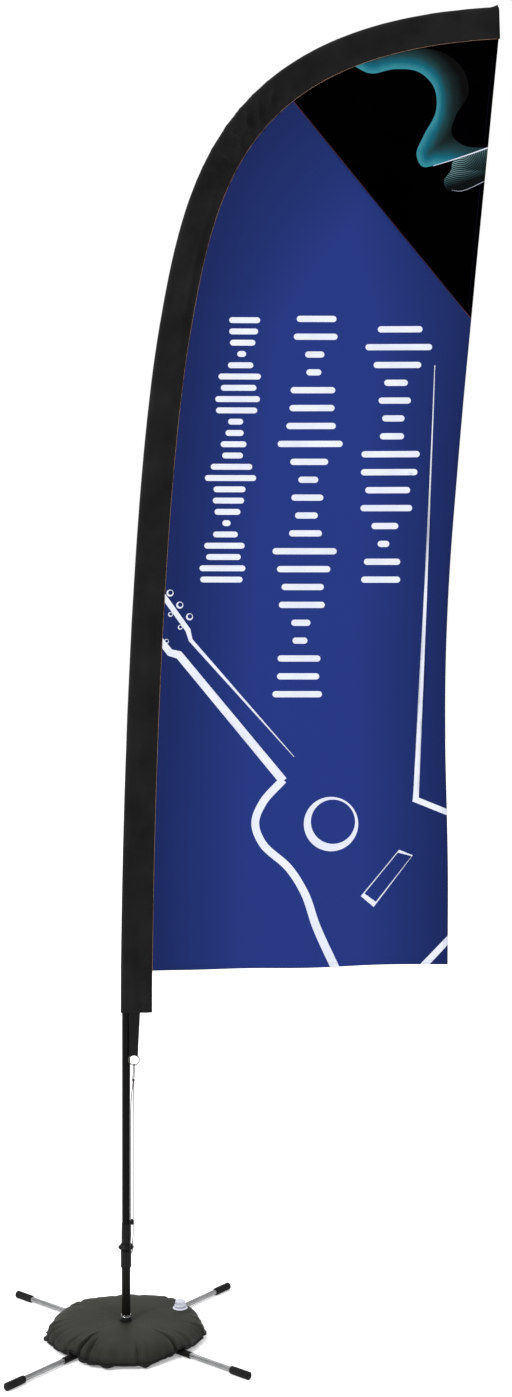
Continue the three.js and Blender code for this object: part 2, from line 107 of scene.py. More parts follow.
class Finish:
    """A procedural material, put together node by node."""

    def __init__(self, name, shine=0.5, **settings):
        self.name = name
        self.material = bpy.data.materials.new(name)
        self.material.use_nodes = True
        self.tree = self.material.node_tree
        self.shader = self.tree.nodes["Principled BSDF"]
        self.shader.inputs["Specular IOR Level"].default_value = shine
        for socket, value in settings.items():
            self.shader.inputs[socket.replace("_", " ")].default_value = value

    def node(self, kind, output, settings=None, **links):
        """A node's output socket; links are sockets, or values for unlinked inputs."""
        node = self.tree.nodes.new("ShaderNode" + kind)
        for key, value in (settings or {}).items():
            setattr(node, key, value)
        for key, value in links.items():
            socket = node.inputs[int(key[1:])] if key[1:].isdigit() else node.inputs[key.replace("_", " ")]
            if isinstance(value, bpy.types.NodeSocket):
                self.tree.links.new(value, socket)
            else:
                socket.default_value = value
        return node.outputs[output]

    def place(self, stretch=(1, 1, 1), attribute=None):
        """Coordinates in metres: the object's own, or those of a vertex attribute."""
        if attribute:
            source = self.node("Attribute", "Vector", {"attribute_name": attribute})
        else:
            source = self.node("TexCoord", "Object")
        return self.node("Mapping", "Vector", Vector=source, Scale=stretch)

    def noise(self, scale, detail=2, stretch=(1, 1, 1), attribute=None):
        where = self.place(stretch, attribute)
        return self.node("TexNoise", "Fac", Vector=where, Scale=scale, Detail=detail)

    def waves(self, pitch, axis, attribute=None, stretch=(1, 1, 1)):
        """Ridges across an axis, a pitch apart in millimetres."""
        settings = {"wave_type": "BANDS", "bands_direction": axis, "wave_profile": "SIN"}
        where = self.place(stretch, attribute)
        return self.node("TexWave", "Fac", settings, Vector=where, Scale=WAVE_SCALE / (pitch * MM))

    def spread(self, source, low, high, start=0.35, end=0.65):
        """A source's middle values spread over a range."""
        reach = {"From_Min": start, "From_Max": end, "To_Min": low, "To_Max": high}
        return self.node("MapRange", "Result", {"clamp": True}, Value=source, **reach)

    def paint(self, source, *stops):
        """The base colour: (position, red, green, blue) stops along a source."""
        node = self.tree.nodes.new("ShaderNodeValToRGB")
        self.tree.links.new(source, node.inputs["Fac"])
        for _ in stops[2:]:
            node.color_ramp.elements.new(0.5)
        for element, (position, *shade) in zip(node.color_ramp.elements, stops):
            element.position = position
            element.color = colour(*shade)
        self.set("Base Color", node.outputs["Color"])

    def math(self, operation, first, second):
        return self.node("Math", "Value", {"operation": operation}, _0=first, _1=second)

    def value(self, attribute):
        """A number that the mesh has at each of its points."""
        return self.node("Attribute", "Fac", {"attribute_name": attribute})

    def set(self, socket, source):
        self.tree.links.new(source, self.shader.inputs[socket])

    def bump(self, height, depth, strength=1.0):
        """Adds a bump, its depth in millimetres, over any that the shader already has."""
        links = {"Height": height, "Distance": depth * MM, "Strength": strength}
        previous = self.shader.inputs["Normal"].links
        if previous:
            links["Normal"] = previous[0].from_socket
        self.set("Normal", self.node("Bump", "Normal", **links))


def surface(name, dark, light, roughness, grain, patches=6, stretch=(1, 1, 1), attribute=None, **settings):
    """A finish whose colour drifts from dark to light, with a grain of (size, depth) in millimetres."""
    made = Finish(name, **settings)
    made.paint(made.noise(patches, 3, stretch, attribute), (0.3, *dark), (0.7, *light))
    size, depth = grain
    fine = made.noise(1 / (size * MM), 4, stretch, attribute)
    made.set("Roughness", made.spread(fine, *roughness))
    made.bump(fine, depth)
    return made


def weave(made, pitch=1.1, depth=0.12):
    """Crossing threads, laid out by the mesh's own thread attribute."""
    warp = made.waves(pitch, "X", "threads")
    weft = made.waves(pitch, "Y", "threads")
    made.bump(made.math("MULTIPLY", warp, weft), depth, 0.8)
    return made


def cloth(name, dark, light, pitch=1.1, depth=0.12, sheen=0.04, patches=5, shine=0.06):
    """Woven polyester."""
    made = surface(
        name, dark, light, (0.75, 0.95), (3, 0.05), patches,
        attribute="threads", shine=shine, Sheen_Weight=sheen, Sheen_Roughness=0.5,
    )
    return weave(made, pitch, depth)


def braided(name, dark, light, pitch):
    """A braided cord: two sets of strands that cross on the slant."""
    made = surface(name, dark, light, (0.6, 0.85), (0.6, 0.05), 90, attribute="threads")
    for slant in (1, -1):
        made.bump(made.waves(pitch, "DIAGONAL", "threads", (1, slant, 0)), 0.12, 0.7)
    return made


def metal(name, dark, light, roughness, grain):
    return surface(name, dark, light, roughness, grain, 30, Metallic=1.0)


def plastic(name, dark, light, roughness=(0.35, 0.5), grain=(0.8, 0.02), **settings):
    return surface(name, dark, light, roughness, grain, 20, **settings)


def printed(name, sheen=0.02, shine=0.05):
    return Finish(name, shine, Sheen_Weight=sheen, Roughness=0.85)


def ribbon_print(name):
    """Glowing printed ribbon: bright along its crisp edge, gone at the other."""
    made = printed(name)
    streak = made.math("MULTIPLY", made.noise(60, 2, (1, 1, 0.3)), 0.12)
    made.paint(
        made.math("ADD", made.value("glow"), streak),
        (0.08, 0, 0, 0), (0.36, 12, 27, 28), (0.58, 20, 52, 57), (0.8, 8, 82, 99), (1.0, 42, 114, 126),
    )
    return weave(made)


def mesh_print(name):
    """Fine printed lines that bend round a lobe."""
    made = printed(name)
    settings = {"wave_type": "RINGS", "rings_direction": "Y", "wave_profile": "SIN"}
    middle = made.node("TexCoord", "Object")
    moved = made.node("Mapping", "Vector", Vector=middle, Location=(-0.86, 0, -3.05))
    scale = WAVE_SCALE / (5 * MM)
    lines = made.node("TexWave", "Fac", settings, Vector=moved, Scale=scale, Distortion=2.0)
    lit = made.math("MULTIPLY", lines, made.value("glow"))
    made.paint(lit, (0.1, 1, 4, 4), (0.3, 40, 66, 70), (0.7, 120, 152, 156))
    return weave(made)


def ground_print(name):
    """The printed ground, with painted shade: darker by the seam and the free edge, and lighter between
    them.
    """
    made = printed(name, 0.04, 0.06)
    drift = made.math("MULTIPLY", made.noise(2.2, 2, attribute="threads"), 0.16)
    # painted shade: the ground darkens towards the seam and the free edge
    shade = made.math("ADD", made.value("edge_shade"), drift)
    made.paint(shade, (0.04, 15, 28, 76), (0.55, 20, 36, 93), (1.0, 26, 43, 108))
    return weave(made)


def bag_pvc(name):
    """Coated fabric with a faint scrim, and painted shade: lighter on top and darker towards the ground."""
    made = Finish(name, 0.06)
    # painted shade: the colour runs from dark near the ground to lighter on top
    height = made.node("SeparateXYZ", "Z", Vector=made.place())
    lift = made.spread(height, 0.0, 0.72, 6 * MM, 43 * MM)
    drift = made.math("MULTIPLY", made.noise(7, 3), 0.4)
    made.paint(
        made.math("ADD", lift, drift), (0.14, 16, 18, 18), (0.52, 36, 37, 34), (1.0, 48, 48, 43),
    )
    fine = made.noise(1 / (2.2 * MM), 4)
    made.set("Roughness", made.spread(fine, 0.45, 0.62))
    made.bump(fine, 0.1)
    made.bump(made.math("ADD", made.waves(3, "X"), made.waves(3, "Y")), 0.05, 0.6)
    made.bump(made.noise(28, 2), 1.5, 0.35)
    return made


WHITE = (255 / KEY_EASE,) * 3
FINISHES = [
    surface("cast_hub", (20, 20, 21), (30, 30, 31), (0.45, 0.65), (1.5, 0.12), shine=0.2),
    surface("black_tube", (13, 12, 11), (19, 18, 16), (0.34, 0.5), (1.2, 0.05), shine=0.06),
    metal("plated_steel", (150, 152, 154), (196, 197, 199), (0.14, 0.28), (4, 0.01)),
    metal("ring_steel", (74, 73, 68), (104, 103, 98), (0.24, 0.36), (3, 0.01)),
    metal("silver_tube", (134, 135, 136), (154, 155, 156), (0.22, 0.36), (3, 0.02)),
    plastic("black_rubber", (17, 17, 17), (25, 25, 25), (0.6, 0.8), (0.9, 0.06), shine=0.1),
    bag_pvc("bag_pvc"),
    # painted shadow: the real weld flange is coloured darker than the bag, standing in for the shade under
    # the rim
    surface("bag_weld_shadow", (17, 18, 18), (28, 29, 28), (0.4, 0.6), (1.5, 0.12), shine=0.08),
    plastic("white_plastic", (186, 186, 198), (214, 214, 226), Subsurface_Weight=0.05),
    plastic("nylon", (200, 198, 186), (222, 220, 208), (0.45, 0.6)),
    plastic("black_plastic", (13, 13, 13), (20, 20, 20), (0.3, 0.46), (0.7, 0.03), shine=0.08),
    surface("black_pole", (9, 9, 9), (14, 14, 14), (0.2, 0.36), (2, 0.02), 6, (1, 1, 0.08), shine=0.04),
    plastic("fibreglass", (26, 26, 24), (40, 40, 36), (0.3, 0.5), (0.8, 0.04)),
    cloth("black_cloth", (11, 11, 12), (24, 23, 23), 0.9, 0.15, patches=9),
    cloth("pocket_cloth", (14, 14, 15), (21, 21, 22), 1.4, 0.2, 0.03),
    ground_print("blue_print"),
    cloth("black_print", (0, 0, 0), (1, 1, 2), sheen=0.0, shine=0.0),
    cloth("white_print", (192, 196, 212), (204, 208, 222), sheen=0.0, patches=12),
    cloth("edge_print", (62, 36, 42), (84, 52, 54), sheen=0.0, shine=0.0),
    ribbon_print("ribbon_print"),
    mesh_print("mesh_print"),
    cloth("webbing", (17, 17, 18), (26, 26, 27), 1.8, 0.35, 0.03),
    cloth("dark_thread", (14, 17, 40), (24, 28, 58), 0.5, 0.05),
    cloth("tan_thread", (146, 110, 90), (180, 144, 122), 0.5, 0.05),
    cloth("black_thread", (34, 34, 36), (52, 52, 54), 0.5, 0.05),
    braided("elastic", (34, 30, 28), (60, 54, 50), 1.2),
    plastic("stage", WHITE, WHITE, (0.8, 0.9), Emission_Color=(1, 1, 1, 1), Emission_Strength=0.25),
]
MATERIALS = {made.name: made.material for made in FINISHES}


# ---- Mesh helpers ----

def circle_angles(count):
    return [TURN * i / count for i in range(count)]


def polar(angle, radius, height):
    return Vector((radius * cos(angle), radius * sin(angle), height))


def smooth(share):
    """A share kept between 0 and 1, and eased at both ends."""
    share = min(1, max(0, share))
    return share * share * (3 - 2 * share)


def bell(offset):
    """1 where the offset is 0, and less to both sides of it."""
    return exp(-offset * offset)


def rough(x, y, z):
    """Smooth noise, from -1 to 1, at a place."""
    return noise.noise(Vector((x, y, z)))


def mesh_object(name, points, faces, material, threads=None, sharp=32):
    """A smooth-shaded mesh piece with its material, and its thread layout if it has one."""
    mesh = bpy.data.meshes.new(name)
    mesh.from_pydata([tuple(point) for point in points], [], faces)
    if threads is not None:
        attribute = mesh.attributes.new("threads", "FLOAT_VECTOR", "POINT")
        attribute.data.foreach_set("vector", np.array(threads, np.float32).ravel())
    mesh.materials.append(MATERIALS[material])
    mesh.shade_smooth()
    if sharp:
        mesh.set_sharp_from_angle(angle=radians(sharp))
    return linked(name, mesh)


def tidy_mesh(obj, merge=0.002 * MM):
    """Joins points that fall together and turns every face outwards."""
    shape = bmesh.new()
    shape.from_mesh(obj.data)
    bmesh.ops.remove_doubles(shape, verts=shape.verts, dist=merge)
    bmesh.ops.recalc_face_normals(shape, faces=shape.faces)
    shape.to_mesh(obj.data)
    shape.free()
    return obj


def skin_faces(rows, count, around=True, caps=True):
    """Faces over rows of points, each with the same count."""
    faces = []
    for i in range(rows - 1):
        for j in range(count if around else count - 1):
            k = (j + 1) % count
            faces.append((i * count + j, i * count + k, (i + 1) * count + k, (i + 1) * count + j))
    if caps:
        faces.append(tuple(reversed(range(count))))
        faces.append(tuple(range((rows - 1) * count, rows * count)))
    return faces


def skin(name, rings, material, around=True, caps=True, threads=None, sharp=32):
    points = [point for ring in rings for point in ring]
    faces = skin_faces(len(rings), len(rings[0]), around, caps)
    return tidy_mesh(mesh_object(name, points, faces, material, threads, sharp))


def eased(outline, radius):
    """An outline of (radius, height) with its corners rounded off."""
    made = [outline[0]]
    for before, corner, after in zip(outline, outline[1:], outline[2:]):
        before, corner, after = Vector(before), Vector(corner), Vector(after)
        reach = min(radius, 0.45 * (before - corner).length, 0.45 * (after - corner).length)
        start = corner + (before - corner).normalized() * reach
        end = corner + (after - corner).normalized() * reach
        for share in (0, 0.25, 0.5, 0.75, 1):
            made.append(tuple(start.lerp(corner, share).lerp(corner.lerp(end, share), share)))
    return made + [outline[-1]]


def turned(name, outline, material, segments=72, ease=0.6, bulge=None):
    """A piece turned about +Z, from (radius, height) in millimetres. bulge(angle, radius, height)
    gives each point's radius."""
    rings = []
    for radius, height in eased(outline, ease):
        reaches = [(a, bulge(a, radius, height) if bulge else radius) for a in circle_angles(segments)]
        rings.append([polar(angle, reach * MM, height * MM) for angle, reach in reaches])
    return skin(name, rings, material, caps=False)


def pipe_outline(radius, bore, bottom, top):
    """A pipe's section, in millimetres, that starts and ends half-way up its bore."""
    middle = (bottom + top) / 2
    return [(bore, middle), (bore, bottom), (radius, bottom), (radius, top), (bore, top), (bore, middle)]


def tube_part(path, radius, sides=12, caps=True):
    """The points, faces and thread layout of a tube along a path."""
    points, threads = [], []
    travelled = 0.0
    normal = (path[1] - path[0]).orthogonal().normalized()
    for i, point in enumerate(path):
        tangent = (path[min(i + 1, len(path) - 1)] - path[max(i - 1, 0)]).normalized()
        normal = (normal - tangent * normal.dot(tangent)).normalized()
        side = tangent.cross(normal)
        if i:
            travelled += (point - path[i - 1]).length
        for angle in circle_angles(sides):
            points.append(point + (normal * cos(angle) + side * sin(angle)) * radius)
            threads.append((radius * angle, travelled, 0))
    return points, skin_faces(len(path), sides, caps=caps), threads


def cord_tube(name, path, radius, caps=True):
    points, faces, threads = tube_part(path, radius, caps=caps)
    return mesh_object(name, points, faces, "elastic", threads)


def smooth_route(points, steps):
    """A centripetal Catmull-Rom curve through points, with steps to each stretch."""
    fixed = [Vector(point) for point in points]
    fixed = [2 * fixed[0] - fixed[1], *fixed, 2 * fixed[-1] - fixed[-2]]
    curve = []
    for a, b, c, d in zip(fixed, fixed[1:], fixed[2:], fixed[3:]):
        t0 = 0.0
        t1 = t0 + sqrt((b - a).length)
        t2 = t1 + sqrt((c - b).length)
        t3 = t2 + sqrt((d - c).length)
        for step in range(steps):
            at = t1 + (t2 - t1) * step / steps
            ab = a.lerp(b, (at - t0) / (t1 - t0))
            bc = b.lerp(c, (at - t1) / (t2 - t1))
            cd = c.lerp(d, (at - t2) / (t3 - t2))
            abc = ab.lerp(bc, (at - t0) / (t2 - t0))
            bcd = bc.lerp(cd, (at - t1) / (t3 - t1))
            curve.append(abc.lerp(bcd, (at - t1) / (t2 - t1)))
    curve.append(fixed[-2])
    return curve


def joined(name, parts, material, sharp=32):
    """One piece from several lists of (points, faces)."""
    points, faces = [], []
    for more_points, more_faces in parts:
        start = len(points)
        points += more_points
        faces += [tuple(start + i for i in face) for face in more_faces]
    threads = [(point[0], point[2], 0) for point in points]
    return mesh_object(name, points, faces, material, threads, sharp)


def stitch(middle, along, out, length, width=0.55 * MM, height=0.3 * MM):
    """One stitch: a low ridge of thread that dips in at both ends."""
    side = along.cross(out).normalized() * width / 2
    points = [middle - along * length / 2, middle + along * length / 2]
    for share in (-0.25, 0.25):
        centre = middle + along * length * share
        points += [centre + side, centre + out * height, centre - side]
    ends = [(0, 3, 2), (0, 4, 3), (1, 5, 6), (1, 6, 7), (0, 2, 4), (1, 7, 5)]
    return points, ends + [(2, 3, 6, 5), (3, 4, 7, 6), (2, 5, 7, 4)]


def stitch_row(path, out, length, pitch):
    """Stitches at even steps along a path of points, standing out along a direction."""
    lengths = np.cumsum([0] + [(b - a).length for a, b in zip(path, path[1:])])
    places = np.arange(pitch, lengths[-1] - pitch, pitch)
    axes = [np.interp(places, lengths, [point[k] for point in path]) for k in range(3)]
    centres = [Vector(xyz) for xyz in zip(*axes)]
    pairs = zip(centres, centres[1:])
    return [stitch(here, (here - before).normalized(), Vector(out), length) for before, here in pairs]


def ride(piece, body, *nodes, slot=None):
    """Puts a piece on its body, in place of its CAD nodes. The slot argument is not used."""
    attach(piece, body)
    if nodes:
        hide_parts(*nodes)
    return piece


def add_modifier(piece, kind, **settings):
    modifier = piece.modifiers.new(kind.lower(), kind)
    for key, value in settings.items():
        setattr(modifier, key, value)


def sheet_skin(name, rings, material, thickness, threads=None, sharp=0):
    """An open sheet over rows of points, with its thickness to both sides."""
    sheet = skin(name, rings, material, around=False, caps=False, threads=threads, sharp=sharp)
    add_modifier(sheet, "SOLIDIFY", thickness=thickness, offset=0)
    return sheet


def coat(node, material, bevel=None):
    """A carried-over CAD node gets its finish and, where its edges show, a bevel in millimetres."""
    obj = NODES[node]
    obj.data.materials.clear()
    obj.data.materials.append(MATERIALS[material])
    if bevel:
        add_modifier(obj, "WELD", merge_threshold=0.01 * MM)
        add_modifier(obj, "BEVEL", width=bevel * MM, segments=3, limit_method="ANGLE", harden_normals=True)


# ---- The pole's line, as the frame has it ----

BOW_START = 0.850
BOW_TOP = 3.402
BOW_REACH = 0.955
BOW_SHAPE = [(0, 0), (0, 0.15), (0.025, 0.511), (0.104, 0.683), (0.173, 0.835), (0.266, 0.9855), (1, 1)]
SLEEVE_FOOT = 0.832
SLEEVE_RADIUS = 13.5 * MM
SLEEVE_TAIL = 67 * MM
SEAM_HALF = 1.0 * MM
HEM_HEIGHT = 0.933
HEM_RISE = 21 * MM


def bow_point(reach, rise):
    return np.array([reach * BOW_REACH, 0, BOW_START + rise * (BOW_TOP - BOW_START)])


def bezier(a, b, c, d, shares):
    shares = shares[:, None]
    rest = 1 - shares
    return rest ** 3 * a + 3 * rest ** 2 * shares * b + 3 * rest * shares ** 2 * c + shares ** 3 * d


def pole_line():
    fixed = [bow_point(*shape) for shape in BOW_SHAPE]
    shares = np.linspace(0, 1, 801)
    upright = np.linspace(np.zeros(3), fixed[0], 101)
    points = np.concatenate([upright, bezier(*fixed[:4], shares)[1:], bezier(*fixed[3:], shares)[1:]])
    steps = np.linalg.norm(np.diff(points, axis=0), axis=1)
    return points, np.concatenate([[0], np.cumsum(steps)])


LINE, LENGTHS = pole_line()
LINE_END = LENGTHS[-1]


def at_length(length):
    """The pole line's point and direction, and the direction across it towards the panel."""
    point = Vector([np.interp(length, LENGTHS, LINE[:, k]) for k in range(3)])
    ahead = [np.interp(min(length + 2 * MM, LINE_END), LENGTHS, LINE[:, k]) for k in range(3)]
    behind = [np.interp(min(length, LINE_END - MM) - 2 * MM, LENGTHS, LINE[:, k]) for k in range(3)]
    along = (Vector(ahead) - Vector(behind)).normalized()
    return point, along, Vector((along.z, 0, -along.x))


# ---- Tie-down: strap, ring and elastic cord ----

TIE_FRONT = 14.2 * MM
RING_X = 21.6 * MM
RING_Z = 713.5 * MM
RING_RADIUS = 13.5 * MM
RING_WIRE = 1.2 * MM
CORD_RADIUS = 1.25 * MM
KNOT = Vector((19.8, -14.2, 660.7)) * MM
CORD_ROUTE = [
    (18.9, -13.2, 656.2), (17.2, -12, 642), (14.6, -10.4, 618), (13.2, -9.6, 585), (13, -9.5, 550),
    (13, -9.5, 420), (13, -9.5, 280), (13, -9.5, 266), (12.3, -10.6, 251), (11.6, -11.9, 238),
    (11.6, -11.9, 222.5), (12.4, -10.3, 218.4), (14.1, -6.6, 216.7), (15.9, -2.9, 218.4),
    (16.6, -1.3, 222.5), (16.6, -1.3, 238), (17.7, -5, 251), (19, -9.5, 266), (19, -9.5, 280),
    (19, -9.5, 420), (19, -9.5, 550), (19.3, -9.9, 600), (20, -11.6, 635), (20.5, -13.2, 656.2),
]


def add_cord():
    """The elastic cord with its hitch round the ring, its knot and its lock."""
    route = smooth_route([Vector(point) * MM for point in CORD_ROUTE], 8)
    cord = ride(cord_tube("elastic_cord", route, CORD_RADIUS), "mast", "tension_cord")
    hitch = ride(cord_tube("cord_loop", hitch_route(), CORD_RADIUS), "mast", "cord_hitch")
    knot = ride(add_knot(), "mast", "cord_knot")
    coat("cord_lock", "black_plastic", 0.7)
    button = ride(add_lock_button(), "cord_lock")


def hitch_route():
    """The loop from the knot over the ring's lower wire and back down behind it."""
    reach = RING_WIRE + CORD_RADIUS + 0.6 * MM
    wire = RING_Z - RING_RADIUS
    apart = 1.5 * MM
    front = [(KNOT.x, -0.4, KNOT.z + 3.2 * MM), (RING_X, -1, wire - 8 * MM), (RING_X, -1, wire)]
    places = [Vector((x - apart, side * reach - TIE_FRONT, z)) for x, side, z in front]
    back = [Vector((p.x + 2 * apart, -2 * TIE_FRONT - p.y, p.z)) for p in reversed(places)]
    crown = Vector((RING_X, -TIE_FRONT, wire + reach + 0.3 * MM))
    return smooth_route([*places, crown, *back], 8)


def add_knot():
    """An overhand knot pulled tight."""
    path = []
    for angle in circle_angles(60):
        x = sin(angle) + 2 * sin(2 * angle)
        y = 1.25 * (cos(angle) - 2 * cos(2 * angle))
        path.append(KNOT + Vector((x, -1.2 * sin(3 * angle), y)) * MM)
    return cord_tube("knot", path + [path[0]], 1.35 * MM, caps=False)


def add_lock_button():
    """The lock's sprung button, with grip ridges."""
    radius, height = 1.55, 4.2
    outline = [(0, 0), (radius, 0), (radius, height), (0, height)]

    def ridges(angle, reach, level):
        return reach * (1 + 0.05 * cos(12 * angle)) if reach > 0.5 else reach

    button = turned("lock_button", outline, "black_plastic", 72, 0.5, ridges)
    low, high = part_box("cord_lock")
    middle = (low + high) / 2
    button.location = (middle.x, middle.y, high.z - 0.3 * MM)
    return button


def add_split_ring():
    """Two turns of flat sprung wire, side by side."""
    half_width, half_depth = 1.3 * MM, 0.55 * MM
    steps = 180
    rings = []
    for i in range(steps + 1):
        angle = 0.35 + TURN * 1.93 * i / steps
        out = Vector((cos(angle), 0, sin(angle)))
        aside = (i / steps - 0.5) * 2.3 * half_depth - TIE_FRONT
        middle = Vector((RING_X, aside, RING_Z)) + out * RING_RADIUS
        section = [(half_width * cos(turn), half_depth * sin(turn)) for turn in circle_angles(16)]
        rings.append([middle + out * wide + Vector((0, deep, 0)) for wide, deep in section])
    ride(skin("key_ring", rings, "ring_steel"), "mast", "split_ring", slot="plated_steel")


def sleeve_half(depth):
    """Half the sleeve's plain thickness, at a depth from the pole's line towards the panel."""
    lean = acos(SLEEVE_RADIUS / SLEEVE_TAIL)
    touch = SLEEVE_RADIUS * cos(lean)
    share = min(1, max(0, (depth - touch) / (SLEEVE_TAIL - touch)))
    return SLEEVE_RADIUS * sin(lean) * (1 - share) + SEAM_HALF * share


def add_strap():
    """A doubled webbing strap that folds round the ring's top wire."""
    foot_half, top_half = 10 * MM, 15.5 * MM
    layer, thickness = 1.75 * MM, 1.3 * MM
    bend = RING_WIRE + thickness / 2 + 0.5 * MM
    top_x, top_z = 22 * MM, SLEEVE_FOOT + 26 * MM
    straight = 0.94
    rows, columns = 60, 16
    rings, threads = [], []
    for row in range(rows + 1):
        share = row / rows
        down = min(share, 1 - share) * 2
        side = -1 if share <= 0.5 else 1
        ring = []
        for column in range(columns + 1):
            across = 2 * column / columns - 1
            x_foot = RING_X + across * foot_half
            wire_z = RING_Z + sqrt(RING_RADIUS ** 2 - (x_foot - RING_X) ** 2)
            if down < straight:
                part = down / straight
                z = top_z + (wire_z - top_z) * part
                half = top_half + (foot_half - top_half) * part
                x = top_x * (1 - part) + RING_X * part + across * half
                spread = layer / 2 + (bend - layer / 2) * smooth(1 - (z - wire_z) / (16 * MM))
            else:
                swing = (down - straight) / (1 - straight) * pi / 2
                z = wire_z - bend * sin(swing)
                x = x_foot
                spread = bend * cos(swing)
            rise = smooth((z - RING_Z - 25 * MM) / (SLEEVE_FOOT - RING_Z - 30 * MM))
            tucked = sleeve_half(x) - 2.3 * MM
            ring.append(Vector((x, side * spread - TIE_FRONT - (tucked - TIE_FRONT) * rise, z)))
            threads.append((x, share * 0.26, 0))
        rings.append(ring)
    strap = sheet_skin("webbing_strap", rings, "webbing", thickness, threads, sharp=32)
    add_modifier(strap, "BEVEL", width=0.3 * MM, segments=2, limit_method="ANGLE")
    ride(strap, "mast", "strap")
    add_strap_stitches((layer + thickness) / 2 + 0.1 * MM)


def add_strap_stitches(lift):
    """Two rows across each face of the strap."""
    rows = []
    for height in (RING_Z + 34 * MM, RING_Z + 52 * MM):
        for side in (-1, 1):
            path = [Vector((RING_X + x * MM, side * lift - TIE_FRONT, height)) for x in (-9, 9)]
            rows += stitch_row(path, (0, side, 0), 2.2 * MM, 3 * MM)
    ride(joined("strap_stitches", rows, "black_thread"), "mast", slot="webbing")


# ---- Sleeve ----

SLEEVE_CLOTH = 0.6 * MM
SHOULDER = np.interp(3.11, LINE[:, 2], LENGTHS)


def drop_section():
    """The sleeve's section from the seam round the pole and back: (inwards, sideways, flank share)."""
    lean = acos(SLEEVE_RADIUS / SLEEVE_TAIL)
    touch = (SLEEVE_RADIUS * cos(lean), SLEEVE_RADIUS * sin(lean))
    flank = []
    for share in np.linspace(0, 1, 15)[:-1]:
        inward = SLEEVE_TAIL + (touch[0] - SLEEVE_TAIL) * share
        flank.append((inward, SEAM_HALF + (touch[1] - SEAM_HALF) * share, 1 - share))
    front = [(inward, -side, share) for inward, side, share in flank]
    arc = []
    for angle in np.linspace(TURN - lean, lean, 23):
        arc.append((SLEEVE_RADIUS * cos(angle), SLEEVE_RADIUS * sin(angle), 0.0))
    return front + arc + flank[::-1]


def sleeve_wrinkle(length, flank, side):
    """How far the sleeve's cloth stands out from its plain section."""
    bow = (length - SLEEVE_FOOT) / (LINE_END - SLEEVE_FOOT)
    where = Vector((length * 9 + side * 0.7 * flank, flank * 1.2, side * 3.1))
    folds = rough(*where) * (1.8 + 2.6 * bow)
    tension = (1.3 + bow) * rough(length * 26 + 2.2 * flank * side, flank * 0.8, 9 + side)
    near_tip = max(0.0, 1 - (LINE_END - length) / 0.32)
    slope = (length - 0.8 * SLEEVE_TAIL * flank) * TURN / 0.075
    folds += 2.6 * near_tip * sin(slope + 2 * rough(length * 14, side, 8))
    near_foot = max(0.0, 1 - (length - SLEEVE_FOOT) / 0.34)
    folds += 2.2 * near_foot * sin(flank * TURN * 1.7 + 4 * rough(length * 5, side, 3))
    crumple = bell((length - SHOULDER) / 0.15)
    groove = sin((length + 0.5 * SLEEVE_TAIL * flank) * TURN / 0.052 + 3 * rough(*(where * 1.4)))
    folds += 10 * crumple * (1.2 * max(0.0, groove) ** 4 - 0.5 * max(0.0, -groove) ** 3)
    roll = bell((length - SHOULDER + 0.40) / 0.17) * bell((flank - 0.7) / 0.12)
    folds += 7 * roll * (1 + 0.4 * rough(length * 22, side, 11))
    pucker = 0.35 * sin(length * TURN / 0.021 + 2 * rough(length * 12, side, 4))
    held = (0.25 + 3 * flank * (1 - flank)) * (0.35 if flank == 0 else 1)
    return ((folds + tension) * held + pucker * flank ** 3) * MM


def add_sleeve():
    section = drop_section()
    girth = np.cumsum([0] + [dist(a[:2], b[:2]) for a, b in zip(section, section[1:])])
    rings, threads = [], []
    for length in np.linspace(SLEEVE_FOOT, LINE_END, 901):
        point, _, inward = at_length(length)
        tip = max(0.0, 1 - (LINE_END - length) / 0.020)
        ring = []
        for depth, sideways, flank in section:
            side = -1 if sideways < 0 else 1
            out = sleeve_wrinkle(length, flank, side)
            if flank == 0:
                lean = Vector((depth, sideways)).normalized()
                flare = 5 * MM * tip ** 1.5 if depth < 0 else 0
                depth += out * lean.x - flare
                sideways += out * lean.y
            else:
                sideways += side * max(out, -abs(sideways) * 0.35)
            ring.append(point + inward * depth + Vector((0, sideways, 0)))
        rings.append(ring)
        threads += [(round_way, length, 0) for round_way in girth]
    sleeve = sheet_skin("pole_sleeve", rings, "black_cloth", SLEEVE_CLOTH, threads)
    ride(sleeve, "mast", "sleeve")
    add_sleeve_stitches()
    add_end_pocket(section)


def sleeve_side(length, flank, side):
    """A point just over the sleeve's flank."""
    point, _, inward = at_length(length)
    depth = SLEEVE_TAIL * flank
    half = SEAM_HALF + (SLEEVE_RADIUS - SEAM_HALF) * (1 - flank) * 0.99
    rise = half + sleeve_wrinkle(length, flank, side) + SLEEVE_CLOTH / 2
    return point + inward * depth + Vector((0, side * rise, 0))


def add_sleeve_stitches():
    """Two rows along the seam, a foot hem, and the tan thread beside the panel."""
    black, tan = [], []
    foot = SLEEVE_FOOT + 12 * MM
    for side in (-1, 1):
        out = Vector((0, side, 0))
        for flank in (0.95, 0.83):
            path = [sleeve_side(length, flank, side) for length in np.linspace(SLEEVE_FOOT, LINE_END, 420)]
            black += stitch_row(path, out, 3.2 * MM, 4.4 * MM)
        path = [sleeve_side(foot, flank, side) for flank in np.linspace(0.06, 0.98, 40)]
        black += stitch_row(path, out, 2.6 * MM, 3.6 * MM)
        path = []
        for length in np.linspace(HEM_HEIGHT, LINE_END - 5 * MM, 500):
            path.append(seam_place(length, SLEEVE_TAIL + 0.5 * MM) + out * 0.9 * MM)
        tan.append(tube_part(path, 0.3 * MM, 6)[:2])
    ride(joined("sleeve_stitches", black, "black_thread"), "mast", slot="black_cloth")
    ride(joined("seam_piping", tan, "tan_thread"), "mast", slot="black_cloth")


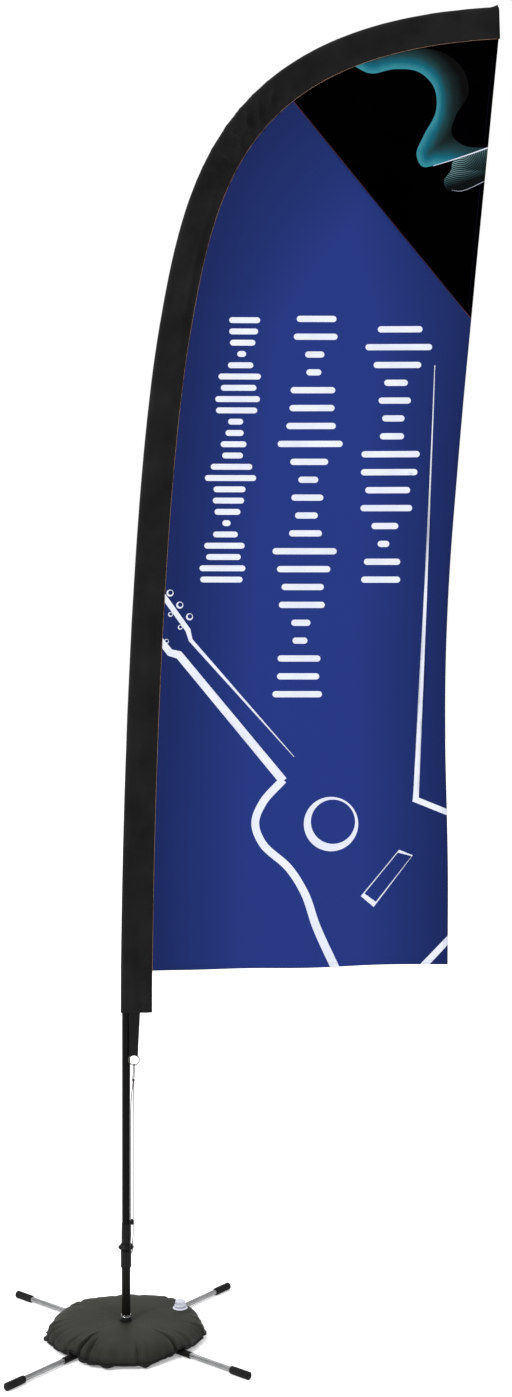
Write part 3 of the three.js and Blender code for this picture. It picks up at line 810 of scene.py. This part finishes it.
def add_end_pocket(section):
    """The patch that closes the sleeve's end and takes the tip's push."""
    point, along, inward = at_length(LINE_END)
    middle = 26 * MM
    rings, threads = [], []
    for ahead, size, squeeze in ((-0.5, 1.02, 1.04), (1.6, 1.02, 1.0), (2.7, 0.985, 0.9), (3.1, 0.93, 0.7)):
        centre = point + along * ahead * MM
        places = [(middle + (depth - middle) * size, sideways) for depth, sideways, _ in section]
        rings.append([centre + inward * d + Vector((0, w * size * squeeze, 0)) for d, w in places])
        threads += [(depth, sideways, 0) for depth, sideways in places]
    pocket = skin("end_pocket", rings, "pocket_cloth", threads=threads)
    ride(pocket, "mast", "sleeve_end_pocket", slot="black_cloth")


# ---- Printed panel ----

PANEL_CLOTH = 0.5 * MM
HEM_WIDTH = 13 * MM
FREE_EDGE = [(0.956, 0.791), (0.894, 0.549), (0.865, 0.388), (0.859, 0.267), (0.867, 0.13)]
HEM_THICKNESS = 2.4  # of the cloth's own
GRID_STEP = 14 * MM
FINE_STEP = 5 * MM


def seam_place(length, inset=SLEEVE_TAIL - MM):
    point, _, inward = at_length(length)
    return point + inward * inset


def panel_outline():
    """The seam from the hem up, the free edge down, and the lower hem, as (x, z) points."""
    seam = [seam_place(length) for length in np.linspace(HEM_HEIGHT - 5 * MM, LINE_END - 0.5 * MM, 260)]
    seam = [point for point in seam if point.z > HEM_HEIGHT]
    corner = Vector((FREE_EDGE[-1][0] * BOW_REACH, 0, HEM_HEIGHT + HEM_RISE))
    marks = [Vector(bow_point(*share)) for share in FREE_EDGE]
    edge = smooth_route([seam[-1], *marks, corner], 16)[1:]
    hem = []
    for share in np.linspace(0, 1, 40)[1:-1]:
        sag = 3 * MM * sin(share * pi * 3) * (1 - share)
        hem.append(corner.lerp(seam[0], share) + Vector((0, 0, sag)))
    return [np.array([[p.x, p.z] for p in part]) for part in (seam, edge, hem)]


SEAM, EDGE, HEM = panel_outline()


def distance_to(points, path):
    """Each point's distance to a path of (x, z) points."""
    best = np.full(len(points), 1e9)
    for start, end in zip(path, path[1:]):
        line = end - start
        share = np.clip(((points - start) @ line) / (line @ line), 0, 1)
        best = np.minimum(best, np.linalg.norm(points - start - share[:, None] * line, axis=1))
    return best


def inside(points, polygon):
    """Which points are inside a polygon."""
    x, z = points[:, 0], points[:, 1]
    found = np.zeros(len(points), bool)
    for (x0, z0), (x1, z1) in zip(polygon, np.roll(polygon, -1, axis=0)):
        if z0 == z1:
            continue
        crosses = (z0 > z) != (z1 > z)
        found ^= crosses & (x < (x1 - x0) * (z - z0) / (z1 - z0) + x0)
    return found


def anticlockwise(polygon):
    """The same polygon, with its corners listed anticlockwise."""
    after = np.roll(polygon, -1, axis=0)
    twice_area = (polygon[:, 0] * after[:, 1] - after[:, 0] * polygon[:, 1]).sum()
    return polygon if twice_area > 0 else polygon[::-1]


def stroke(path, widths):
    """The outline of a drawn line whose width, in millimetres, changes along it."""
    path = np.array(path, float)
    widths = np.interp(np.linspace(0, 1, len(path)), np.linspace(0, 1, len(widths)), widths) * MM
    steps = np.diff(path, axis=0)
    steps /= np.linalg.norm(steps, axis=1)[:, None]
    left, right = [], []
    for i, point in enumerate(path):
        before, after = steps[max(i - 1, 0)], steps[min(i, len(steps) - 1)]
        across = np.array([-(before + after)[1], (before + after)[0]])
        across /= np.linalg.norm(across)
        mitre = max(0.5, across @ np.array([-after[1], after[0]]))
        left.append(point + across * widths[i] / 2 / mitre)
        right.append(point - across * widths[i] / 2 / mitre)
    return np.array(right + left[::-1])


def curve(points, steps=8):
    """A smooth line through (x, z) points."""
    return [(p.x, p.z) for p in smooth_route([(x, 0, z) for x, z in points], steps)]


def ring_outline(x, z, radius, count):
    return np.array([(x + radius * cos(a), z + radius * sin(a)) for a in circle_angles(count)])


def bar(x0, x1, z, height):
    """A round-ended bar across the panel."""
    half = height / 2
    ends = []
    for middle, facing in ((x1 - half, -0.5), (x0 + half, 0.5)):
        for i in range(9):
            angle = pi * (i / 8 + facing)
            ends.append((middle + half * cos(angle), z + half * sin(angle)))
    return np.array(ends)


def wave_column(x0, x1, lean, bottom, top, pitch, height, phase):
    """A column of bars like a sound wave, which leans a little to follow the flag."""
    bars = []
    count = int((top - bottom) / pitch)
    for i in range(count + 1):
        swing = 0.56 + 0.26 * sin(i * 0.83 + phase) + 0.16 * sin(i * 2.1 + 2 * phase)
        middle = (x0 + x1) / 2 + lean * (i / count - 0.5)
        reach = (x1 - x0) / 2 * swing
        bars.append(bar(middle - reach, middle + reach, bottom + i * pitch, height))
    return bars


RIBBON_EDGE = curve([
    (0.580, 3.268), (0.628, 3.246), (0.690, 3.257), (0.752, 3.250), (0.792, 3.210), (0.797, 3.150),
    (0.766, 3.088), (0.747, 3.040), (0.762, 3.008), (0.800, 3.013), (0.935, 3.056),
])
RIBBON_REACH = 72 * MM


CORNER_EDGE = [(0.400, 3.211), (0.886, 2.617)]


def artwork():
    """The printed shapes, lowest layer first: (material, outline)."""
    outer = curve([
        (0.925, 3.055), (0.868, 3.062), (0.838, 3.090), (0.846, 3.135), (0.880, 3.195), (0.866, 3.258),
        (0.800, 3.305), (0.700, 3.305), (0.600, 3.290),
    ])
    lobe = curve([
        (0.935, 3.054), (0.842, 3.022), (0.836, 2.998), (0.818, 2.972), (0.826, 2.948), (0.862, 2.944),
        (0.935, 2.976),
    ])
    crest = curve([(0.790, 3.0095), (0.850, 3.028), (0.935, 3.057)], 4)
    fringe = curve([(0.838, 2.948), (0.862, 2.945), (0.935, 2.976)], 4)
    shapes = [
        ("black_print", np.array([*CORNER_EDGE, (1.1, 2.45), (1.1, 3.6), (0.40, 3.6)])),
        ("ribbon_print", np.array(RIBBON_EDGE[:-1] + outer)),
        ("edge_print", stroke(CORNER_EDGE, [1.8, 1.8])),
        ("mesh_print", np.array(lobe)),
        ("white_print", stroke(crest, [1, 3.4])),
        ("white_print", stroke(fringe, [0.3, 0.9])),
    ]
    bars = wave_column(0.205, 0.345, 0.06, 1.945, 2.62, 0.029, 0.015, 0.4)
    bars += wave_column(0.375, 0.555, 0.05, 1.650, 2.62, 0.046, 0.016, 1.9)
    bars += wave_column(0.590, 0.770, 0.05, 1.945, 2.62, 0.046, 0.016, 3.1)
    shapes += [("white_print", shape) for shape in bars]
    return shapes + guitar()


def guitar():
    """The outline of a guitar, drawn with lines whose widths are in millimetres."""
    side = curve([
        (0.404, 1.430), (0.352, 1.372), (0.332, 1.318), (0.352, 1.264), (0.418, 1.203), (0.460, 1.136),
        (0.490, 1.050), (0.545, 0.930),
    ])
    bridge = np.array([(0.604, 1.130), (0.702, 1.250), (0.737, 1.236), (0.637, 1.102)])
    middle = bridge.mean(axis=0)
    drawn = [
        stroke([(0.080, 1.925), (0.159, 1.815), (0.166, 1.789), (0.432, 1.489)], [14, 13, 10, 1.5]),
        stroke([(0.074, 1.806), (0.113, 1.757), (0.136, 1.751), (0.404, 1.427)], [16, 18, 20, 22]),
        stroke(side, [20, 20, 20, 22]),
        stroke([(0.794, 2.496), (0.770, 1.900), (0.744, 1.378)], [2, 8, 15]),
        stroke([(0.738, 1.382), (0.850, 1.337)], [15, 15]),
        stroke([(0.850, 1.040), (0.745, 0.930)], [16, 18]),
        ring_outline(0.527, 1.316, 70 * MM, 64),
    ]
    shapes = [("white_print", shape) for shape in drawn]
    shapes += [
        ("blue_print", ring_outline(0.532, 1.322, 57 * MM, 64)),
        ("white_print", bridge),
        ("blue_print", middle + (bridge - middle) * [[0.86], [0.9], [0.96], [0.83]]),
    ]
    pegs = [(0.113, 1.910), (0.138, 1.879), (0.163, 1.849), (0.114, 1.855), (0.139, 1.822), (0.104, 1.786)]
    for i, (x, z) in enumerate(pegs):
        size = (9 if i < 3 else 6) * MM
        shapes.append(("white_print", ring_outline(x, z, size, 20)))
        shapes.append(("blue_print", ring_outline(x + 0.12 * size, z + 0.12 * size, 0.66 * size, 20)))
    return shapes


def ripple(points):
    """How far the hung cloth stands from its plane: tension by the seam and soft waves at the free edge."""
    x, z = points[:, 0], points[:, 1]
    from_seam = distance_to(points, SEAM[::6])
    loose = np.clip(from_seam / 0.75, 0, 1)
    low = np.clip((1.9 - z) / 0.95, 0, 1)
    near = np.exp(-from_seam / 0.045) * np.clip(from_seam / 0.01, 0, 1)
    wave = np.sin(z * TURN / 0.92 + 1.1 * x + 0.4) * (5 + 5 * low) * loose ** 1.6
    slant = np.sin((z + 0.55 * x) * TURN / 0.41 + 1.3) * 2.4 * loose * (1 - 0.4 * loose)
    billow = np.sin(np.clip(from_seam / 0.8, 0, 1) * pi) * 5
    hang = np.sin(x * TURN / 0.29 + 0.8) * 3.5 * low ** 2 * np.clip(from_seam / 0.1, 0, 1)
    pull = np.sin(z * TURN / 0.083 + 3 * x) * 0.9 * near
    return (wave + slant + billow + hang + pull) * MM * np.clip(from_seam / 0.03, 0, 1)


FREE = np.concatenate([EDGE[:-1], HEM[:1], HEM])


def panel_grid(outline):
    """Points spread over the panel, closer together behind the ribbon."""
    x0, z0 = outline.min(axis=0)
    x1, z1 = outline.max(axis=0)
    grid = []
    for row, z in enumerate(np.arange(z0, z1, GRID_STEP)):
        grid += [(x, z) for x in np.arange(x0 + (row % 2) * GRID_STEP / 2, x1, GRID_STEP)]
    for z in np.arange(2.93, 3.32, FINE_STEP):
        grid += [(x, z + 0.6 * MM) for x in np.arange(0.57, 0.95, FINE_STEP)]
    grid = np.array(grid)
    near = np.minimum.reduce([distance_to(grid, path) for path in (SEAM, EDGE, HEM)])
    return grid[inside(grid, outline) & (near > 4 * MM)]


def panel_pieces():
    """Points and faces of the flat cut, with each face's print."""
    outline = anticlockwise(np.concatenate([SEAM, EDGE, HEM]))
    points = list(outline)
    faces = [list(range(len(outline)))]
    prints = ["blue_print"]
    for material, shape in artwork():
        faces.append(list(range(len(points), len(points) + len(shape))))
        points += list(anticlockwise(shape))
        prints.append(material)
    inner = FREE + hem_inset(FREE)
    edges = [(len(points) + i, len(points) + i + 1) for i in range(len(inner) - 1)]
    points += [*inner, *panel_grid(outline)]
    made = delaunay_2d_cdt([Vector(p) for p in points], edges, faces, 0, 1e-6, True)
    corners, triangles, owners = made[0], made[2], made[5]
    kept = [(face, prints[max(owner)]) for face, owner in zip(triangles, owners) if 0 in owner]
    return np.array([tuple(c) for c in corners]), kept


def hem_inset(path):
    """Steps from the free edges to the hem's stitch line."""
    ahead = np.roll(path, -1, axis=0) - np.roll(path, 1, axis=0)
    ahead[0] = path[1] - path[0]
    ahead[-1] = path[-1] - path[-2]
    ahead /= np.linalg.norm(ahead, axis=1)[:, None]
    return np.stack([ahead[:, 1], -ahead[:, 0]], axis=1) * HEM_WIDTH


def add_values(piece, name, values):
    """A share from 0 to 1 at each of a mesh's points."""
    attribute = piece.data.attributes.new(name, "FLOAT", "POINT")
    attribute.data.foreach_set("value", np.clip(values, 0, 1).astype(np.float32))


def add_panel():
    corners, kept = panel_pieces()
    used = sorted({i for face, _ in kept for i in face})
    order = {old: new for new, old in enumerate(used)}
    flat = corners[used]
    x, z = flat.T
    faces = [tuple(order[i] for i in face) for face, _ in kept]
    threads = np.stack([x, z, 0 * x], axis=1)
    points = np.stack([x, ripple(flat), z], axis=1)
    panel = mesh_object("flag_panel_cloth", points, faces, "blue_print", threads, sharp=0)
    names = ["blue_print", "black_print", "white_print", "ribbon_print", "mesh_print", "edge_print"]
    for name in names[1:]:
        panel.data.materials.append(MATERIALS[name])
    panel.data.polygons.foreach_set("material_index", [names.index(name) for _, name in kept])
    glow = np.clip(1 - distance_to(flat, np.array(RIBBON_EDGE)) / RIBBON_REACH, 0, 1)
    add_values(panel, "glow", glow * (1 - 0.55 * np.clip((x - 0.80) / 0.10, 0, 1) * (z > 3.0)))
    # painted shade on the printed ground: how far from the seam and the free edge the darkening reaches
    fade = 0.25 + 0.16 * np.clip((z - 2.6) / 0.4, 0, 1)
    add_values(panel, "edge_shade", np.minimum(distance_to(flat, SEAM[::6]), distance_to(flat, EDGE)) / fade)
    hem = np.minimum(distance_to(flat, EDGE), distance_to(flat, HEM)) < HEM_WIDTH + 0.5 * MM
    panel.vertex_groups.new(name="hem").add([int(i) for i in np.nonzero(hem)[0]], 1.0, "REPLACE")
    add_modifier(
        panel, "SOLIDIFY", thickness=HEM_THICKNESS * PANEL_CLOTH, offset=0, vertex_group="hem",
        thickness_vertex_group=1 / HEM_THICKNESS,
    )
    ride(panel, "mast", "flag_panel", slot="printed_cloth")
    add_hem_stitches()


def add_hem_stitches():
    free = FREE[:-1]
    line = free + hem_inset(free) * 0.82
    dense = np.concatenate([np.linspace(a, b, 8)[:-1] for a, b in zip(line, line[1:])])
    depth = ripple(dense)
    rows = []
    for side in (-1, 1):
        lift = depth + side * HEM_THICKNESS / 2 * PANEL_CLOTH
        path = [Vector((x, y, z)) for (x, z), y in zip(dense, lift)]
        rows += stitch_row(path, (0, side, 0), 3.4 * MM, 4.6 * MM)
    ride(joined("hem_stitches", rows, "dark_thread"), "mast", slot="printed_cloth")


# ---- Pole, rotor and socket, in millimetres ----

POLE_RADIUS = 10.5
POLE_FIT = POLE_RADIUS + 0.3
ROTOR_RADIUS = 11.2
ROTOR_BORE = 9.7
ROTOR_TOP = 193
SOCKET_RADIUS = 13.9
SOCKET_BORE = 11.5
SOCKET_TOP = 221.6
COLLAR_RADIUS = 20
COLLAR_TOP = 237.8
GAP = 0.3


def add_pole():
    """The lowest stage, and the finishes of those that the sleeve hides."""
    foot, top = 0.1933, 1.18
    bore = POLE_RADIUS - 1.5
    lengths = [foot, *np.linspace(0.1943, 0.9, 24), *np.linspace(0.91, 1.179, 40), top]
    rows = [(length, POLE_RADIUS - (0.4 if length in (foot, top) else 0)) for length in lengths]
    rings, threads = [], []
    for length, radius in [*rows, (top, bore), (foot, bore), rows[0]]:
        point, _, inward = at_length(length)
        ring = []
        for angle in circle_angles(48):
            out = inward * cos(angle) + Vector((0, sin(angle), 0))
            ring.append(point + out * radius * MM)
            threads.append((radius * MM * angle, length, 0))
        rings.append(ring)
    stage = skin("pole_foot_stage", rings, "black_pole", caps=False, threads=threads)
    ride(stage, "mast", "pole_lower")
    for name in ("pole_middle", "pole_upper"):
        coat(name, "black_pole")
    for name in ("ferrule_lower", "ferrule_middle", "ferrule_upper", "socket_spigot", "spindle"):
        coat(name, "plated_steel")
    coat("pole_tip_rod", "fibreglass")
    coat("pole_tip_cap", "black_rubber")


def add_rotor():
    outline = pipe_outline(ROTOR_RADIUS, ROTOR_BORE, 57, ROTOR_TOP)
    ride(turned("rotor_sleeve", outline, "black_tube"), "mast", "rotor_tube")
    low, waist, held = 179, SOCKET_RADIUS - 0.2, (186, 214)

    def grip(angle, radius, height):
        ridged = radius > SOCKET_BORE + 1 and held[0] < height < held[1]
        return radius - (0.35 * (1 + cos(28 * angle)) / 2 if ridged else 0)

    outline = [
        (SOCKET_BORE, 200), (SOCKET_BORE, low), (SOCKET_RADIUS, low), (SOCKET_RADIUS, 185), (waist, 186.5),
        (waist, 213.5), (SOCKET_RADIUS, 215), (SOCKET_RADIUS, SOCKET_TOP), (SOCKET_BORE, SOCKET_TOP),
        (SOCKET_BORE, 200),
    ]
    socket = turned("pole_socket", outline, "black_plastic", 168, 0.8, grip)
    ride(socket, "mast", "socket_sleeve")
    add_collar()
    bore, low = POLE_FIT, COLLAR_TOP + GAP
    outline = [
        (bore, low + 20), (bore, low), (bore + 1.2, low), (bore + 1.2, low + 24), (bore + 0.5, low + 52),
        (bore, low + 52), (bore, low + 20),
    ]
    ferrule = turned("foot_ferrule", outline, "black_plastic", ease=0.5)
    ride(ferrule, "mast", "pole_foot_ferrule")


def add_collar():
    """The two-coned collar with the notches that the cord passes through."""
    low, rim, shoulder = SOCKET_TOP + GAP, 229.3, SOCKET_RADIUS + 0.8
    outline = [
        (POLE_FIT, rim), (POLE_FIT, low), (SOCKET_RADIUS, low), (shoulder, low + 1.6),
        (COLLAR_RADIUS, rim - 1.2), (COLLAR_RADIUS, rim + 1.2), (shoulder, COLLAR_TOP - 1.4),
        (SOCKET_RADIUS, COLLAR_TOP), (POLE_FIT, COLLAR_TOP), (POLE_FIT, rim),
    ]
    collar = turned("cord_collar", outline, "black_plastic", 120, 0.7)
    for side in (-1, 1):
        shape = bmesh.new()
        bmesh.ops.create_cube(shape, size=1)
        size = Vector((COLLAR_RADIUS, 4.2, 40)) * MM
        middle = Vector((COLLAR_RADIUS / 2 + 14.5, 0, rim)) * MM
        turn = Matrix.Rotation(radians(-25 + side * 20.6), 4, "Z")
        shape.transform(turn @ Matrix.Translation(middle) @ Matrix.Diagonal((*size, 1)))
        mesh = bpy.data.meshes.new("notch")
        shape.to_mesh(mesh)
        shape.free()
        cut_with(collar, linked("notch", mesh))
    add_modifier(collar, "BEVEL", width=0.4 * MM, segments=2, limit_method="ANGLE")
    ride(collar, "mast", "tension_collar")


def cut_with(piece, cutter):
    """Cuts one shape out of a piece for good."""
    modifier = piece.modifiers.new("cut", "BOOLEAN")
    modifier.object = cutter
    modifier.operation = "DIFFERENCE"
    modifier.solver = "EXACT"
    bpy.context.view_layer.update()
    evaluated = piece.evaluated_get(bpy.context.evaluated_depsgraph_get())
    mesh = bpy.data.meshes.new_from_object(evaluated)
    piece.modifiers.remove(modifier)
    piece.data = mesh
    bpy.data.objects.remove(cutter)


# ---- Base, in millimetres ----

LEG_HEIGHT = 9.5
LEG_REACH = 410
BOSS_TOP = 49.6


def laid(piece, degrees):
    """Lays a piece turned about +Z along a leg."""
    place = Matrix.Rotation(radians(degrees), 4, "Z") @ Matrix.Translation((0, 0, LEG_HEIGHT * MM))
    piece.data.transform(place @ Matrix.Rotation(pi / 2, 4, "Y"))
    return piece


def add_legs():
    for corner, degrees in CORNERS.items():
        body = "leg_" + corner
        arm = turned("arm_" + corner, pipe_outline(8, 6.8, 15, 222), "black_tube", 48)
        ride(laid(arm, degrees), "base", "leg_arm_" + corner)
        inner = turned("slide_" + corner, pipe_outline(6.5, 5.2, 150, 401.7), "silver_tube", 48)
        ride(laid(inner, degrees), body, "leg_tube_" + corner)
        ride(laid(leg_cap(corner), degrees), body, "leg_cap_" + corner)
        coat("set_screw_" + corner, "plated_steel", 0.5)


def leg_cap(corner):
    """A rubber foot with grip rings round its end."""
    end, mouth, radius, bore = LEG_REACH, LEG_REACH - 58, 9.5, 6.8
    root = radius - 0.7
    outline = [(0, end - 8), (bore, end - 8), (bore, mouth), (radius - 1.2, mouth)]
    outline.append((radius - 0.3, mouth + 1.2))
    for groove in range(6):
        start = end - 44 + groove * 6
        outline += [(radius, start), (root, start + 0.7), (root, start + 1.7), (radius, start + 2.4)]
    outline += [(radius, end - 1.6), (radius - 1.8, end), (0, end)]
    return turned("foot_" + corner, outline, "black_rubber", 48, 0.7)


def add_hub():
    coat("base_hub", "cast_hub", 1.2)
    for name in ("lower_bush", "upper_bush", "cap_liner"):
        coat(name, "nylon")
    coat("retaining_clip", "plated_steel")
    bore, radius = 7.5, 13
    low, high = BOSS_TOP + GAP, BOSS_TOP + GAP + 6.8
    middle = (low + high) / 2
    outline = [
        (bore, middle), (bore, low), (radius, low), (radius, middle - 0.8), (radius - 0.6, middle),
        (radius, middle + 0.8), (radius, high), (bore, high), (bore, middle),
    ]
    ring = turned("bearing_ring", outline, "plated_steel", ease=0.5)
    ride(ring, "base", "thrust_ring")


# ---- Water bag ----

BAG_RADIUS = 0.202
BAG_HOLE = 14.3 * MM
BAG_FLOOR = 1.6 * MM
BAG_TOP = 51 * MM
HUB_TOP = 22 * MM
ARM_TOP = 19.6 * MM
FILLER = Vector((0.136, 0.065, 0))


def turned_from(angle, degrees):
    """How far an angle is from a direction, in degrees, from -180 to 180."""
    return (angle / TURN * 360 - degrees + 180) % 360 - 180


def leg_pinch(angle, width):
    """1 over a leg, falling to 0 beside it."""
    return max(bell(turned_from(angle, leg) / width) for leg in CORNERS.values())


# direction in degrees, width in degrees, depth in mm, and how far in from the rim it reaches
CREASES = [
    (237, 1.3, 19.0, 0.52), (245, 1.5, 13.0, 0.36), (225, 1.6, 8.0, 0.26), (315, 1.3, 19.0, 0.50),
    (327, 2.0, 5.0, 0.30), (284, 1.7, 9.0, 0.30), (291, 1.6, 3.0, 0.34), (268, 2.6, 3.0, 0.16),
    (196, 2.0, 7.0, 0.22), (185, 1.7, 18.0, 0.18), (207, 1.8, 3.5, 0.26), (170, 2.5, 3.0, 0.18),
    (351, 1.7, 14.0, 0.16), (5, 2.4, 4.2, 0.22), (31, 2.0, 3.6, 0.20), (58, 1.8, 5.6, 0.32),
    (44, 1.8, 4.6, 0.28), (84, 2.4, 3.0, 0.22), (104, 2.2, 3.8, 0.20), (134, 1.8, 5.6, 0.32),
    (147, 1.8, 4.8, 0.28), (122, 2.2, 3.0, 0.18), (256, 1.7, 4.0, 0.15), (301, 1.8, 4.2, 0.17),
]


def crease(angle, share):
    """How far the bag's skin is drawn in, in metres, at a share of the way out to the rim."""
    total = 0.0
    for degrees, width, depth, reach in CREASES:
        if share > 1 - reach:
            across = turned_from(angle, degrees + 3 * rough(share * 4, degrees, 0)) / width
            drawn = bell(across) - 0.35 * bell(abs(across) - 2.1)
            total += depth * MM * drawn * ((share - 1 + reach) / reach) ** 1.3
    return total


def bag_rim(angle):
    """The rim's radius and the height of its middle."""
    pinch = leg_pinch(angle, 9)
    lobes = 0.022 * sin(angle) * cos(4 * (angle - radians(50)))
    lobes += 0.01 * cos(11 * angle + 0.6)
    lobes += 0.02 * rough(cos(angle) * 2.4, sin(angle) * 2.4, 7)
    radius = BAG_RADIUS * (0.985 + lobes - 0.018 * pinch) - 0.45 * crease(angle, 0.99)
    return min(radius, 0.2055), 15 * MM + 12 * MM * pinch


def bag_floor(angle, radius):
    """The height of the bag's underside, which lies over the arms like a blanket."""
    away = min(abs(turned_from(angle, leg)) for leg in CORNERS.values())
    aside = radius * sin(radians(min(away, 90)))
    return BAG_FLOOR + (ARM_TOP - BAG_FLOOR) * smooth((16 * MM - aside) / (6 * MM))


def bag_section(angle):
    """The bag's section from the hole's foot over the top, round the rim and back under."""
    rim, middle = bag_rim(angle)
    collar = 40 * MM
    crown = BAG_TOP - 3 * MM - 0.6 * MM * leg_pinch(angle, 7)
    section = []
    for share in np.linspace(0, 1, 47):
        radius = BAG_HOLE + (rim - BAG_HOLE) * share
        rise = collar + (crown - collar) * sin(min(share / 0.45, 1) * pi / 2)
        fall = max(0.0, (share - 0.5) / 0.5)
        height = rise - (rise - middle) * (1 - sqrt(max(0.0, 1 - fall ** 3.4)))
        wrinkle = 0.9 * MM * rough(radius * 16 * cos(angle), radius * 16 * sin(angle), 2)
        height += wrinkle * min(1, 4 * share) * (1 - fall ** 4) - crease(angle, share) * (1 - fall ** 8)
        section.append((radius, height))
    tuck = 24 * MM
    drop = middle - bag_floor(angle, rim)
    for swing in np.linspace(0, pi / 2, 17)[1:]:
        section.append((rim - tuck * (1 - cos(swing)), middle - drop * sin(swing)))
    for radius in np.linspace(rim - tuck, BAG_HOLE, 21)[1:]:
        over_hub = HUB_TOP + 2 * MM if radius < 44 * MM else 0
        section.append((radius, max(bag_floor(angle, radius), over_hub)))
    return section


def add_bag():
    rings = [[polar(angle, r, z) for r, z in bag_section(angle)] for angle in circle_angles(720)]
    rings = [[seated(point) for point in ring] for ring in rings]
    bag = skin("water_bag_skin", rings + rings[:1], "bag_pvc", caps=False, sharp=0)
    ride(bag, "base", "water_bag")
    add_bag_weld()
    add_filler()


def seated(point):
    """Draws the top down to a flat seat where the filler's flange is welded on."""
    seat = 47.1 * MM
    away = (Vector((point.x, point.y, 0)) - FILLER).length
    if away < 40 * MM and point.z > 24 * MM:
        point.z = seat + (point.z - seat) * smooth((away - 19 * MM) / (21 * MM))
    return point


# where the welded rim hangs loose as a wider dark flap, painted shadow under the rim: direction and width
# in degrees
SHADOW_FLAPS = [(243, 9), (262, 5), (192, 5), (288, 4)]


def add_bag_weld():
    """The flat welded flange where the bag's two skins meet, round its rim; its dark colour and its wider
    flaps are painted shadow under the rim.
    """
    rings = []
    for angle in circle_angles(480):
        rim, middle = bag_rim(angle)
        crimp = 0.12 * cos(240 * angle)
        shadow_flap = max(bell(turned_from(angle, at) / wide) for at, wide in SHADOW_FLAPS)
        droop = 1.5 + 1.2 * sin(9 * angle) + 5 * shadow_flap
        steps = [(-2.5 + (6.2 + 4.2 * shadow_flap) * k / 4, crimp - 2 - droop * (k / 4) ** 2) for k in range(5)]
        rings.append([polar(angle, rim + out * MM, middle + lift * MM) for out, lift in steps])
    ride(sheet_skin("bag_weld_rim", rings + rings[:1], "bag_weld_shadow", 0.9 * MM), "base", slot="bag_pvc")


def add_filler():
    """The filler's flange and neck, and its ribbed screw cap, in millimetres."""
    low, flange, top = 47.3, 50.3, 62.3
    radius, neck_radius, bore = 19.5, 11, 8.6
    outline = [
        (0, low), (radius, low), (radius, low + 1.2), (16, flange), (neck_radius, flange),
        (neck_radius, top), (bore, top), (bore, flange), (0, flange),
    ]

    def thread(angle, reach, height):
        on_neck = abs(reach - neck_radius) < 0.4 and flange + 1 < height < top - 1
        return reach - 0.5 if on_neck else reach

    neck = turned("filler_flange", outline, "white_plastic", 64, 0.6, thread)
    neck.data.transform(Matrix.Translation(FILLER))
    ride(neck, "base", "filler_neck")
    inside_radius, brim, grip = 11.3, 15, 12.5
    ceiling, skirt, roof = 64.3, 53.8, 67.3
    outline = [
        (0, ceiling), (inside_radius, ceiling), (inside_radius, skirt), (brim, skirt), (brim, skirt + 1.8),
        (grip, skirt + 3.2), (grip, roof - 2), (grip - 1.6, roof), (9, roof), (8.4, roof - 0.6),
        (0, roof - 0.6),
    ]

    def ribs(angle, reach, height):
        ribbed = reach > inside_radius + 1 and skirt + 3 < height < roof - 1
        return reach + (0.6 * max(0, cos(20 * angle)) if ribbed else 0)

    cap = turned("screw_cap", outline, "white_plastic", 192, 0.6, ribs)
    cap.data.transform(Matrix.Translation(FILLER))
    ride(cap, "filler_cap", "filler_cap")


# ---- The scene ----

def add_stage():
    """A plain pale floor, wide enough to meet the pale sky."""
    rim = [polar(angle, 60, 0) for angle in circle_angles(96)]
    mesh_object("studio_floor", rim, [tuple(range(96))], "stage", sharp=0)


add_camera()
add_cord()
add_stage()
add_world(1.0)
add_light("key", (-8.5, -8.0, 10.5), (0.3, 0, 1.4), 3.5, 1500)
add_light("fill", (3.6, -3.4, 2.2), (0.4, 0, 1.2), 3.0, 15)
add_light("rim", (-1.5, 3.0, 4.2), (0.3, 0, 1.6), 2.0, 30)
add_split_ring()
add_strap()
add_sleeve()
add_panel()
add_pole()
add_rotor()
add_hub()
add_legs()
add_bag()

bpy.context.scene.view_settings.view_transform = "Standard"
